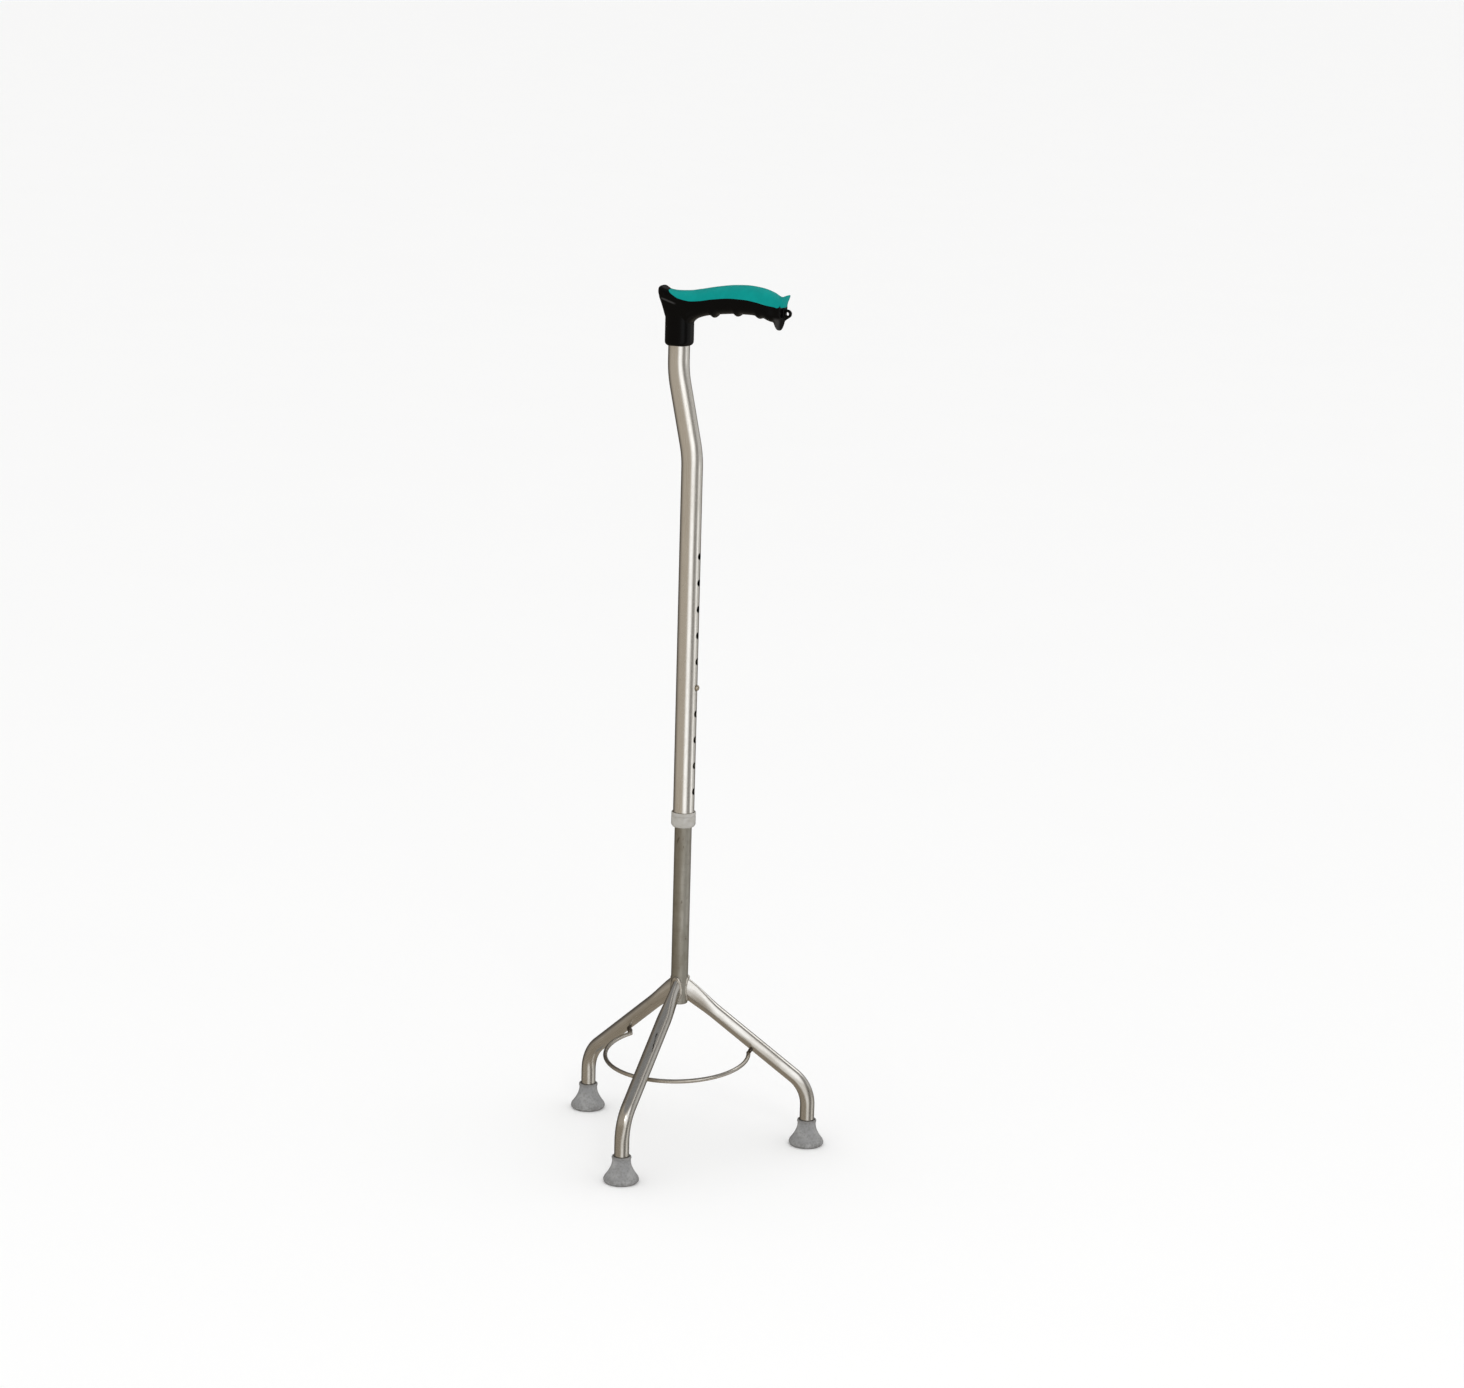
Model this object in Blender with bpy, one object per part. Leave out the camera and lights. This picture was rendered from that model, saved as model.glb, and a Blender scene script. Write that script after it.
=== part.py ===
"""Height-adjustable tripod walking cane.

A swan-necked upper tube with a palm grip slides over a lower tube that stands on three welded
legs. A sprung button in the lower tube locks into one of a row of holes in the upper tube.
Metres, +Z up, the floor at z = 0, the grip's nose towards +X, the middle leg towards -Y.
"""

import math

import bmesh
import bpy
from mathutils import Vector

MM = 0.001
GAP = 0.3 * MM

# Base: three legs on a circle of feet, one leg square to the grip, two towards its ends.
FOOT_CIRCLE_RADIUS = 127.8 * MM
SIDE_LEG_ANGLE = math.radians(22.7)
LEG_RADIUS = 7.1 * MM
LEG_WALL = 1.2 * MM
LEG_SLOPE = math.radians(39.0)
LEG_AXIS_HEIGHT = 161.8 * MM
KNEE_BEND_RADIUS = 38.0 * MM
PINCH_HALF_WIDTH = 4.4 * MM
PINCH_HALF_HEIGHT = 9.0 * MM
PINCH_LENGTH = 36.0 * MM
LEG_SIDES = 16

# Rubber tips.
TIP_HEIGHT = 25.7 * MM
TIP_MOUTH_RADIUS = 9.0 * MM
TIP_SOLE_RADIUS = 17.0 * MM
TIP_FLOOR = 6.0 * MM
WASHER_THICKNESS = 1.2 * MM
WASHER_BORE_RADIUS = 2.6 * MM
TIP_SIDES = 24

# Brace ring under the legs.
RING_RADIUS = 69.6 * MM
RING_SHIFT = (2.4 * MM, -7.6 * MM)
RING_HEIGHT = 91.7 * MM
RING_TILT = math.radians(4.3)
RING_OPENING = (25.0, 153.5)
ROD_RADIUS = 2.0 * MM

# Telescoping tubes.
TUBE_SIDES = 24
LOWER_RADIUS = 8.25 * MM
LOWER_WALL = 1.4 * MM
LOWER_BOTTOM = 141.5 * MM
UPPER_RADIUS = 10.2 * MM
UPPER_WALL = 1.3 * MM
UPPER_BOTTOM = 321.0 * MM
NECK_OFFSET = 16.2 * MM
NECK_LOWER_CORNER = 678.0 * MM
NECK_UPPER_CORNER = 755.0 * MM
NECK_BEND_RADIUS = 110.0 * MM

# Height lock.
HOLE_PITCH = 25.4 * MM
HOLE_COUNT = 10
HOLE_RADIUS = 3.3 * MM
LOCKED_HOLE = 6
BUTTON_HEIGHT = 455.5 * MM
BUTTON_RADIUS = 2.9 * MM
BUTTON_REACH = 2.7 * MM
BUTTON_FLANGE_RADIUS = 4.2 * MM
BUTTON_FLANGE_THICKNESS = 1.0 * MM
LOWER_TOP_ABOVE_BUTTON = 50.0 * MM
SPRING_WIDTH = 6.0 * MM
SPRING_THICKNESS = 0.5 * MM
SPRING_LENGTH = 38.0 * MM

# Collar on the upper tube's lower end.
COLLAR_TOP = 333.0 * MM
COLLAR_BOTTOM = 318.4 * MM
COLLAR_RADIUS = 11.8 * MM
SLIDE_CLEARANCE = 0.2 * MM

# Grip. Lengths run along +X from the socket's axis, heights go up from the socket's mouth.
SOCKET_MOUTH = 780.5 * MM
SOCKET_HALF_LENGTH = 12.9 * MM
SOCKET_HALF_WIDTH = 12.9 * MM
SOCKET_CORNER = 4.0 * MM
SOCKET_DEPTH = 33.0 * MM
PAD_THICKNESS = 2.6 * MM
SEAT_GAP = 0.4 * MM
PAD_END = 107.6 * MM
BODY_END = 104.0 * MM
RIDGES = [(36.2 * MM, 3.0 * MM), (59.5 * MM, 2.6 * MM), (81.2 * MM, 1.8 * MM)]
RIDGE_HALF_LENGTH = 4.2 * MM
EYELET_LENGTH = 109.0 * MM
EYELET_HEIGHT = 37.4 * MM
EYELET_RADIUS = 1.8 * MM
EYELET_TAB_RADIUS = 3.7 * MM
EYELET_TAB_THICKNESS = 2.4 * MM
HOOK_TIP_LENGTH = 100.2 * MM
HOOK_TIP_HEIGHT = 21.2 * MM
SCREW_HEIGHT = 15.0 * MM
SCREW_RADIUS = 1.7 * MM
SCREW_HEAD_RADIUS = 3.1 * MM
SCREW_HEAD_THICKNESS = 1.2 * MM

# Crown of the grip, its underside, the edge between pad and body, and its half width, each as
# (length, height or half width) in millimetres.
CROWN_LINE = [(-18.2, 52.4), (-16.6, 54.5), (-10.4, 52.4), (-3.0, 51.6), (8.0, 52.1), (22.0, 54.4),
              (36.5, 57.4), (55.0, 60.1), (67.5, 60.7), (81.0, 59.5), (93.5, 56.0), (101.5, 52.2),
              (107.6, 54.2)]
UNDER_LINE = [(-18.2, 47.4), (-16.6, 42.0), (-13.2, 31.0), (-10.6, 23.0), (0.0, 21.0), (10.6, 20.0),
              (14.2, 23.6), (19.2, 27.0), (30.0, 30.3), (45.0, 32.5), (60.0, 33.7), (73.0, 33.7),
              (85.0, 31.7), (94.0, 28.7), (99.0, 28.9), (104.0, 32.0)]
PAD_EDGE_LINE = [(-10.0, 51.4), (-7.6, 49.5), (-3.2, 47.3), (3.4, 44.7), (14.9, 43.2), (24.4, 44.1),
                 (36.7, 46.4), (57.4, 48.6), (69.0, 48.4), (81.4, 46.8), (92.0, 44.5), (100.0, 43.3),
                 (107.6, 42.2)]
HALF_WIDTH_LINE = [(-18.2, 8.4), (-16.6, 10.2), (-12.5, 11.8), (0.0, 13.0), (30.0, 12.6), (60.0, 13.0),
                   (90.0, 12.4), (100.5, 10.2), (107.6, 10.0)]
# How square the grip's section is: 2 is an ellipse.
SQUARENESS_LINE = [(-18.2, 3.0), (-10.0, 2.4), (94.0, 2.4), (101.0, 2.9), (107.6, 4.4)]

# Derived places.
AXIS_Y = FOOT_CIRCLE_RADIUS * (1.0 - math.sin(SIDE_LEG_ANGLE)) / 2.0
LEG_ANGLES = {
    "front": -math.pi / 2.0,
    "right": SIDE_LEG_ANGLE,
    "left": math.pi - SIDE_LEG_ANGLE,
}
TIP_BORE_RADIUS = LEG_RADIUS + GAP
LEG_FOOT = TIP_FLOOR + WASHER_THICKNESS + 2.0 * GAP
LOWER_TOP = BUTTON_HEIGHT + LOWER_TOP_ABOVE_BUTTON
LOWER_BORE = LOWER_RADIUS - LOWER_WALL
UPPER_BORE = UPPER_RADIUS - UPPER_WALL
UPPER_TOP = SOCKET_MOUTH + SOCKET_DEPTH - GAP
TOP_HOLE_HEIGHT = BUTTON_HEIGHT + (LOCKED_HOLE - 1) * HOLE_PITCH


def clear_scene():
    """Remove whatever the startup file holds."""
    for obj in list(bpy.data.objects):
        bpy.data.objects.remove(obj, do_unlink=True)


def material(name, colour, roughness, metallic=0.0):
    """Return a Principled material."""
    made = bpy.data.materials.new(name)
    made.use_nodes = True
    shader = made.node_tree.nodes["Principled BSDF"]
    shader.inputs["Base Color"].default_value = (*colour, 1.0)
    shader.inputs["Roughness"].default_value = roughness
    shader.inputs["Metallic"].default_value = metallic
    return made


def empty(name, location):
    """Return an empty that carries a body's pieces."""
    made = bpy.data.objects.new(name, None)
    made.location = location
    bpy.context.collection.objects.link(made)
    return made


def add_piece(name, mesh, finish, parent, location=(0.0, 0.0, 0.0), turn=0.0):
    """Link a mesh as one named sub-part under its body's empty."""
    made = bpy.data.objects.new(name, mesh)
    bpy.context.collection.objects.link(made)
    made.parent = parent
    made.location = location
    made.rotation_euler = (0.0, 0.0, turn)
    if not mesh.materials:
        mesh.materials.append(finish)
    return made


def cutter(name, mesh, parent):
    """Link a helper solid that a Boolean modifier uses and nothing shows."""
    made = bpy.data.objects.new(name, mesh)
    bpy.context.collection.objects.link(made)
    made.parent = parent
    made.hide_render = True
    made.display_type = "WIRE"
    return made


def boolean(target, helper, operation):
    """Add an exact Boolean modifier."""
    modifier = target.modifiers.new(operation.title() + " " + helper.name, "BOOLEAN")
    modifier.operation = operation
    modifier.object = helper
    modifier.solver = "EXACT"


def loft(name, loops, ring=False):
    """Skin a row of equal vertex loops. With ring the last loop joins the first, else both ends are capped."""
    work = bmesh.new()
    rows = [[work.verts.new(point) for point in loop] for loop in loops]
    pairs = list(zip(rows, rows[1:]))
    if ring:
        pairs.append((rows[-1], rows[0]))
    for low, high in pairs:
        for index in range(len(low)):
            after = (index + 1) % len(low)
            work.faces.new((low[index], low[after], high[after], high[index]))
    if not ring:
        work.faces.new(rows[0][::-1])
        work.faces.new(rows[-1])
    bmesh.ops.recalc_face_normals(work, faces=work.faces)
    bmesh.ops.triangulate(work, faces=[face for face in work.faces if len(face.verts) > 4])
    if work.calc_volume(signed=True) < 0.0:
        bmesh.ops.reverse_faces(work, faces=work.faces)
    mesh = bpy.data.meshes.new(name)
    work.to_mesh(mesh)
    work.free()
    mesh.shade_smooth()
    mesh.set_sharp_from_angle(angle=math.radians(35.0))
    return mesh


def circle(radius, height, sides):
    """Return a level loop of points."""
    return [
        Vector((radius * math.cos(turn), radius * math.sin(turn), height))
        for turn in (2.0 * math.pi * step / sides for step in range(sides))
    ]


def turned_ring(name, profile, sides):
    """Turn a closed (radius, height) outline about Z, clear of the axis."""
    return loft(name, [circle(radius, height, sides) for radius, height in profile], ring=True)


def turned_solid(name, profile, sides):
    """Turn an open (radius, height) outline about Z, with a flat cap at each end."""
    return loft(name, [circle(radius, height, sides) for radius, height in profile])


def along_x(mesh):
    """Turn a mesh made along Z so that it lies along X."""
    for vertex in mesh.vertices:
        x, y, z = vertex.co
        vertex.co = (z, y, -x)
    return mesh


def along_y(mesh):
    """Turn a mesh made along Z so that it lies along Y."""
    for vertex in mesh.vertices:
        x, y, z = vertex.co
        vertex.co = (x, z, -y)
    return mesh


def shifted(mesh, offset):
    """Move a mesh's points."""
    for vertex in mesh.vertices:
        vertex.co += Vector(offset)
    return mesh


def joined(name, meshes):
    """Return one mesh that holds several separate solids, for a cutter."""
    work = bmesh.new()
    for mesh in meshes:
        work.from_mesh(mesh)
    together = bpy.data.meshes.new(name)
    work.to_mesh(together)
    work.free()
    return together


def smooth_value(line, at):
    """Read a curve through (length, value) points in millimetres, with no overshoot between them."""
    at = at / MM
    if at <= line[0][0]:
        return line[0][1] * MM
    if at >= line[-1][0]:
        return line[-1][1] * MM
    slopes = [(b[1] - a[1]) / (b[0] - a[0]) for a, b in zip(line, line[1:])]
    tangents = [slopes[0]]
    for before, after in zip(slopes, slopes[1:]):
        flat = before * after <= 0.0
        tangents.append(0.0 if flat else 2.0 * before * after / (before + after))
    tangents.append(slopes[-1])
    index = max(place for place in range(len(line) - 1) if line[place][0] <= at)
    start, end = line[index], line[index + 1]
    span = end[0] - start[0]
    t = (at - start[0]) / span
    value = (
        (2.0 * t**3 - 3.0 * t**2 + 1.0) * start[1]
        + (t**3 - 2.0 * t**2 + t) * span * tangents[index]
        + (3.0 * t**2 - 2.0 * t**3) * end[1]
        + (t**3 - t**2) * span * tangents[index + 1]
    )
    return value * MM


def blend(t):
    """Ease from 0 to 1."""
    t = min(max(t, 0.0), 1.0)
    return t * t * (3.0 - 2.0 * t)


# ---------------------------------------------------------------- legs, tips and ring


def leg_line_height(radius):
    """Height of a leg's straight centreline at a distance from the tube's axis."""
    return LEG_AXIS_HEIGHT - math.tan(LEG_SLOPE) * radius


def leg_stations():
    """Return (centre radius, centre height, slope below level, half width, half height) down one leg."""
    start = LOWER_RADIUS + GAP
    corner_height = leg_line_height(FOOT_CIRCLE_RADIUS)
    turn = math.pi / 2.0 - LEG_SLOPE
    tangent = KNEE_BEND_RADIUS * math.tan(turn / 2.0)
    bend_x = FOOT_CIRCLE_RADIUS - KNEE_BEND_RADIUS
    bend_z = corner_height - tangent
    stations = []
    pinch_steps = 5
    for step in range(pinch_steps + 1):
        share = step / pinch_steps
        radius = start + share * PINCH_LENGTH * math.cos(LEG_SLOPE)
        ease = blend(share)
        half_width = PINCH_HALF_WIDTH + (LEG_RADIUS - PINCH_HALF_WIDTH) * ease
        half_height = PINCH_HALF_HEIGHT + (LEG_RADIUS - PINCH_HALF_HEIGHT) * ease
        stations.append((radius, leg_line_height(radius), LEG_SLOPE, half_width, half_height))
    bend_steps = 7
    for step in range(bend_steps + 1):
        slope = LEG_SLOPE + turn * step / bend_steps
        radius = bend_x + KNEE_BEND_RADIUS * math.sin(slope)
        height = bend_z + KNEE_BEND_RADIUS * math.cos(slope)
        stations.append((radius, height, slope, LEG_RADIUS, LEG_RADIUS))
    stations.append((FOOT_CIRCLE_RADIUS, LEG_FOOT, math.pi / 2.0, LEG_RADIUS, LEG_RADIUS))
    return stations


def leg_loop(station, inset, on_tube):
    """Return one loop of a leg's skin. on_tube slides each point along the leg onto the lower tube."""
    radius, height, slope, half_width, half_height = station
    loop = []
    for step in range(LEG_SIDES):
        turn = 2.0 * math.pi * step / LEG_SIDES
        side = (half_width - inset) * math.sin(turn)
        rise = (half_height - inset) * math.cos(turn)
        x = radius + rise * math.sin(slope)
        z = height + rise * math.cos(slope)
        if on_tube:
            reach = math.sqrt((LOWER_RADIUS + GAP) ** 2 - side**2)
            z -= (reach - x) * math.tan(slope)
            x = reach
        loop.append(Vector((x, side, z)))
    return loop


def leg_mesh():
    """One bent leg, open at both ends, pinched where it meets the lower tube."""
    stations = leg_stations()
    outside = [leg_loop(station, 0.0, index == 0) for index, station in enumerate(stations)]
    inside = [leg_loop(station, LEG_WALL, index == 0) for index, station in enumerate(stations)]
    return loft("leg", outside + inside[::-1], ring=True)


def tip_mesh():
    """Bell-shaped rubber tip with a blind bore."""
    outline = [(15.4 * MM, 0.0), (16.6 * MM, 0.9 * MM), (TIP_SOLE_RADIUS, 3.2 * MM)]
    flare_steps = 6
    flare_base = 5.4 * MM
    neck_height = 21.0 * MM
    neck_radius = TIP_MOUTH_RADIUS - 0.1 * MM
    for step in range(flare_steps + 1):
        share = step / flare_steps
        bell = (1.0 - share) ** 1.75
        radius = neck_radius + (TIP_SOLE_RADIUS - 0.3 * MM - neck_radius) * bell
        outline.append((radius, flare_base + (neck_height - flare_base) * share))
    outline.append((TIP_MOUTH_RADIUS + 0.3 * MM, TIP_HEIGHT - 1.4 * MM))
    outline.append((TIP_MOUTH_RADIUS, TIP_HEIGHT))
    outline.append((TIP_BORE_RADIUS, TIP_HEIGHT))
    outline.append((TIP_BORE_RADIUS, TIP_FLOOR))
    return turned_solid("tip", outline, TIP_SIDES)


def washer_mesh():
    """Flat steel washer between a leg's end and its tip's floor."""
    low = TIP_FLOOR + GAP
    high = low + WASHER_THICKNESS
    radius = LEG_RADIUS - 0.2 * MM
    outline = [(WASHER_BORE_RADIUS, low), (radius, low), (radius, high), (WASHER_BORE_RADIUS, high)]
    return turned_ring("washer", outline, TIP_SIDES)


def ring_mesh():
    """Round-rod ring under the legs, open at the back, tilted down towards the middle leg."""
    first = math.radians(RING_OPENING[1])
    last = 2.0 * math.pi + math.radians(RING_OPENING[0])
    steps = 36
    sides = 8
    loops = []
    for step in range(steps + 1):
        turn = first + (last - first) * step / steps
        reach, aside = math.cos(turn), math.sin(turn)
        outward = Vector((reach, aside * math.cos(RING_TILT), aside * math.sin(RING_TILT)))
        up = Vector((0.0, -math.sin(RING_TILT), math.cos(RING_TILT)))
        centre = RING_RADIUS * outward + Vector((*RING_SHIFT, RING_HEIGHT))
        loops.append([
            centre + ROD_RADIUS * (math.cos(spin) * outward + math.sin(spin) * up)
            for spin in (2.0 * math.pi * side / sides for side in range(sides))
        ])
    return loft("brace_ring", loops)


# ---------------------------------------------------------------- tubes and height lock


def neck_stations():
    """Return (x, height, lean) along the upper tube's centreline, from its lower end to its upper end."""
    lean = math.atan2(NECK_OFFSET, NECK_UPPER_CORNER - NECK_LOWER_CORNER)
    tangent = NECK_BEND_RADIUS * math.tan(lean / 2.0)
    steps = 4
    stations = [(0.0, UPPER_BOTTOM, 0.0)]
    for step in range(steps + 1):
        turn = lean * step / steps
        x = -NECK_BEND_RADIUS * (1.0 - math.cos(turn))
        z = NECK_LOWER_CORNER - tangent + NECK_BEND_RADIUS * math.sin(turn)
        stations.append((x, z, turn))
    for step in range(steps + 1):
        turn = lean * (1.0 - step / steps)
        x = -NECK_OFFSET + NECK_BEND_RADIUS * (1.0 - math.cos(turn))
        z = NECK_UPPER_CORNER + tangent - NECK_BEND_RADIUS * math.sin(turn)
        stations.append((x, z, turn))
    stations.append((-NECK_OFFSET, UPPER_TOP, 0.0))
    return stations


def neck_loop(station, radius):
    """Return a round loop square to the upper tube's centreline."""
    x, z, lean = station
    across = Vector((math.cos(lean), 0.0, math.sin(lean)))
    loop = []
    for step in range(TUBE_SIDES):
        turn = 2.0 * math.pi * step / TUBE_SIDES
        loop.append(Vector((x, radius * math.sin(turn), z)) + radius * math.cos(turn) * across)
    return loop


def hole_punches(name, radius, heights):
    """Return one mesh of round punches along X, one at each height, all on the +X side."""
    punches = []
    for height in heights:
        punch = turned_solid("punch", [(radius, 0.0), (radius, UPPER_RADIUS)], 14)
        punches.append(shifted(along_x(punch), (UPPER_RADIUS / 2.0, 0.0, height)))
    return joined(name, punches)


def upper_tube(finish, parent):
    """Swan-necked tube with the row of height holes."""
    stations = neck_stations()
    outside = [neck_loop(station, UPPER_RADIUS) for station in stations]
    inside = [neck_loop(station, UPPER_BORE) for station in stations]
    tube = add_piece("upper_tube", loft("upper_tube", outside + inside[::-1], ring=True), finish, parent)
    heights = [TOP_HOLE_HEIGHT - index * HOLE_PITCH for index in range(HOLE_COUNT)]
    punches = hole_punches("punches", HOLE_RADIUS, heights)
    boolean(tube, cutter("height_hole_punches", punches, parent), "DIFFERENCE")
    way_radius = SCREW_RADIUS + GAP
    screw_way = along_y(turned_solid("screw_way", [(way_radius, 0.0), (way_radius, 2.0 * UPPER_RADIUS)], 12))
    shifted(screw_way, (-NECK_OFFSET, 0.0, SOCKET_MOUTH + SCREW_HEIGHT))
    boolean(tube, cutter("tube_screw_way", screw_way, parent), "DIFFERENCE")
    return tube


def lower_tube(finish, parent):
    """Straight lower tube that runs through the legs' junction, with one hole for the button."""
    outline = [
        (LOWER_BORE, LOWER_BOTTOM),
        (LOWER_RADIUS, LOWER_BOTTOM),
        (LOWER_RADIUS, LOWER_TOP),
        (LOWER_BORE, LOWER_TOP),
    ]
    tube = add_piece("lower_tube", turned_ring("lower_tube", outline, TUBE_SIDES), finish, parent)
    way = hole_punches("button_way", BUTTON_RADIUS + GAP, [BUTTON_HEIGHT])
    boolean(tube, cutter("button_way_punch", way, parent), "DIFFERENCE")
    return tube


def snap_button_mesh():
    """Domed lock button along X, with a flange that keeps it in the lower tube."""
    tip = UPPER_RADIUS + BUTTON_REACH
    flange_back = 3.9 * MM
    flange_front = flange_back + BUTTON_FLANGE_THICKNESS
    outline = [(BUTTON_FLANGE_RADIUS, flange_back), (BUTTON_FLANGE_RADIUS, flange_front)]
    outline.append((BUTTON_RADIUS, flange_front))
    dome_steps = 4
    for step in range(dome_steps + 1):
        turn = math.radians(80.0) * step / dome_steps
        reach = tip - BUTTON_RADIUS * 0.8 * (1.0 - math.sin(turn))
        outline.append((BUTTON_RADIUS * math.cos(turn), reach))
    return along_x(turned_solid("snap_button", outline, 16))


def spring_mesh():
    """Hairpin strip that pushes the button out: down from the button, round, and up the far wall."""
    front = 3.9 * MM - GAP - SPRING_THICKNESS / 2.0
    back = -(LOWER_BORE - 1.2 * MM)
    bend = (front - back) / 2.0 * 0.5
    middle = (front + back) / 2.0
    low = -SPRING_LENGTH
    path = [Vector((front, 0.0, BUTTON_FLANGE_RADIUS)), Vector((front, 0.0, -BUTTON_FLANGE_RADIUS))]
    bend_steps = 8
    for step in range(bend_steps + 1):
        turn = math.pi * step / bend_steps
        path.append(Vector((middle + bend * math.cos(turn), 0.0, low - bend * math.sin(turn))))
    path.append(Vector((back, 0.0, BUTTON_FLANGE_RADIUS)))
    loops = []
    for index, point in enumerate(path):
        before = path[max(index - 1, 0)]
        after = path[min(index + 1, len(path) - 1)]
        along = (after - before).normalized()
        across = Vector((along.z, 0.0, -along.x)) * SPRING_THICKNESS / 2.0
        half = Vector((0.0, SPRING_WIDTH / 2.0, 0.0))
        loops.append([point + across + half, point - across + half, point - across - half, point + across - half])
    return loft("button_spring", loops)


def bush_mesh():
    """Plastic bush on the lower tube's upper end that guides it inside the upper tube."""
    spigot = LOWER_BORE - GAP
    bore = spigot - 1.6 * MM
    base = LOWER_TOP + GAP
    outline = [
        (bore, base - 9.0 * MM),
        (spigot, base - 9.0 * MM),
        (spigot, base),
        (UPPER_BORE - SLIDE_CLEARANCE, base),
        (UPPER_BORE - SLIDE_CLEARANCE, base + 5.0 * MM),
        (UPPER_BORE - 1.2 * MM, base + 6.5 * MM),
        (bore, base + 6.5 * MM),
    ]
    return turned_ring("glide_bush", outline, TUBE_SIDES)


def collar_mesh():
    """Collar pushed over the upper tube's lower end, closing down onto the lower tube."""
    seat = UPPER_RADIUS + GAP
    lip = LOWER_RADIUS + SLIDE_CLEARANCE
    chamfer = 1.4 * MM
    outline = [
        (lip, COLLAR_BOTTOM),
        (COLLAR_RADIUS - chamfer, COLLAR_BOTTOM),
        (COLLAR_RADIUS, COLLAR_BOTTOM + 2.2 * MM),
        (COLLAR_RADIUS, COLLAR_TOP - 0.5 * MM),
        (COLLAR_RADIUS - 0.5 * MM, COLLAR_TOP),
        (seat, COLLAR_TOP),
        (seat, UPPER_BOTTOM - GAP),
        (lip, UPPER_BOTTOM - GAP),
    ]
    return turned_ring("tube_collar", outline, TUBE_SIDES)


def stub_plug_mesh():
    """Plug in the lower tube's open lower end."""
    radius = LOWER_BORE - GAP
    outline = [(radius, LOWER_BOTTOM + 0.6 * MM), (radius, LOWER_BOTTOM + 8.0 * MM)]
    return turned_solid("stub_plug", outline, TUBE_SIDES)


# ---------------------------------------------------------------- grip


def ridge_drop(length):
    """How far the finger ridges hang below the underside."""
    return max(depth * blend(1.0 - abs(length - place) / RIDGE_HALF_LENGTH) for place, depth in RIDGES)


def section_point(length, turn, inset):
    """Return a point of the grip's rounded section at a turn from +Y through the crown."""
    crown = smooth_value(CROWN_LINE, length)
    under = smooth_value(UNDER_LINE, length)
    if math.sin(turn) < 0.0:
        under -= ridge_drop(length)
    middle = (crown + smooth_value(UNDER_LINE, length)) / 2.0
    half_height = crown - middle if math.sin(turn) >= 0.0 else middle - under
    half_width = smooth_value(HALF_WIDTH_LINE, length)
    power = 2.0 / (smooth_value(SQUARENESS_LINE, length) / MM)
    y = math.copysign(abs(math.cos(turn)) ** power, math.cos(turn)) * (half_width - inset)
    z = math.copysign(abs(math.sin(turn)) ** power, math.sin(turn)) * (half_height - inset)
    return Vector((length, y, middle + z))


def edge_turn(length, lift):
    """Turn at which the section reaches the pad's edge, moved up by lift."""
    crown = smooth_value(CROWN_LINE, length)
    middle = (crown + smooth_value(UNDER_LINE, length)) / 2.0
    share = (smooth_value(PAD_EDGE_LINE, length) + lift - middle) / (crown - middle)
    return math.asin(min(max(share, 0.01), 0.99) ** (smooth_value(SQUARENESS_LINE, length) / MM / 2.0))


def spread(start, end, count):
    """Return evenly spaced values, both ends included."""
    return [start + (end - start) * step / (count - 1) for step in range(count)]


def body_loop(length, inset):
    """Body section: the open sides and underside, then the seat that the pad lies on."""
    edge = edge_turn(length, 0.0)
    sides = [section_point(length, turn, 0.0) for turn in spread(math.pi - edge, 2.0 * math.pi + edge, 21)]
    inner = edge + 0.02
    seat = [section_point(length, turn, inset) for turn in spread(inner, math.pi - inner, 11)]
    return sides + seat


def seat_lengths():
    """Stations from the pad's start to the body's end, closer together across each finger ridge."""
    plain = [-9.8, -8.2, -6.0, -3.0, 3.0, 9.0, 13.0, 16.5, 21.0, 26.0, 48.0, 70.5, 90.0, 95.0, 99.5]
    lengths = [length * MM for length in plain]
    for place, _ in RIDGES:
        lengths += [place + share * RIDGE_HALF_LENGTH for share in (-1.0, -0.5, 0.0, 0.5, 1.0)]
    return sorted(lengths) + [BODY_END]


def grip_bar_mesh():
    """Long arm of the grip, with the pad's seat sunk into its crown."""
    horn_lengths = [-18.2, -17.5, -16.4, -14.5, -12.5, -10.6]
    loops = [body_loop(length * MM, 0.0) for length in horn_lengths]
    seat_start = seat_lengths()[0] - GAP - 0.1 * MM
    for length in [seat_start] + seat_lengths()[1:]:
        loops.append(body_loop(length, PAD_THICKNESS + SEAT_GAP))
    return loft("grip_bar", loops)


def socket_mesh():
    """Upright socket with rounded lower corners."""
    loops = []
    corner_steps = 4
    for step in range(corner_steps + 1):
        turn = math.pi / 2.0 * step / corner_steps
        inset = SOCKET_CORNER * (1.0 - math.sin(turn))
        loops.append((inset, SOCKET_CORNER * (1.0 - math.cos(turn))))
    loops.append((0.0, 30.0 * MM))
    power = 2.0 / 2.6
    sides = 28
    points = []
    for inset, height in loops:
        loop = []
        for step in range(sides):
            turn = 2.0 * math.pi * step / sides
            x = math.copysign(abs(math.cos(turn)) ** power, math.cos(turn)) * (SOCKET_HALF_LENGTH - inset)
            y = math.copysign(abs(math.sin(turn)) ** power, math.sin(turn)) * (SOCKET_HALF_WIDTH - inset)
            loop.append(Vector((x, y, height)))
        points.append(loop)
    return loft("socket", points)


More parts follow.
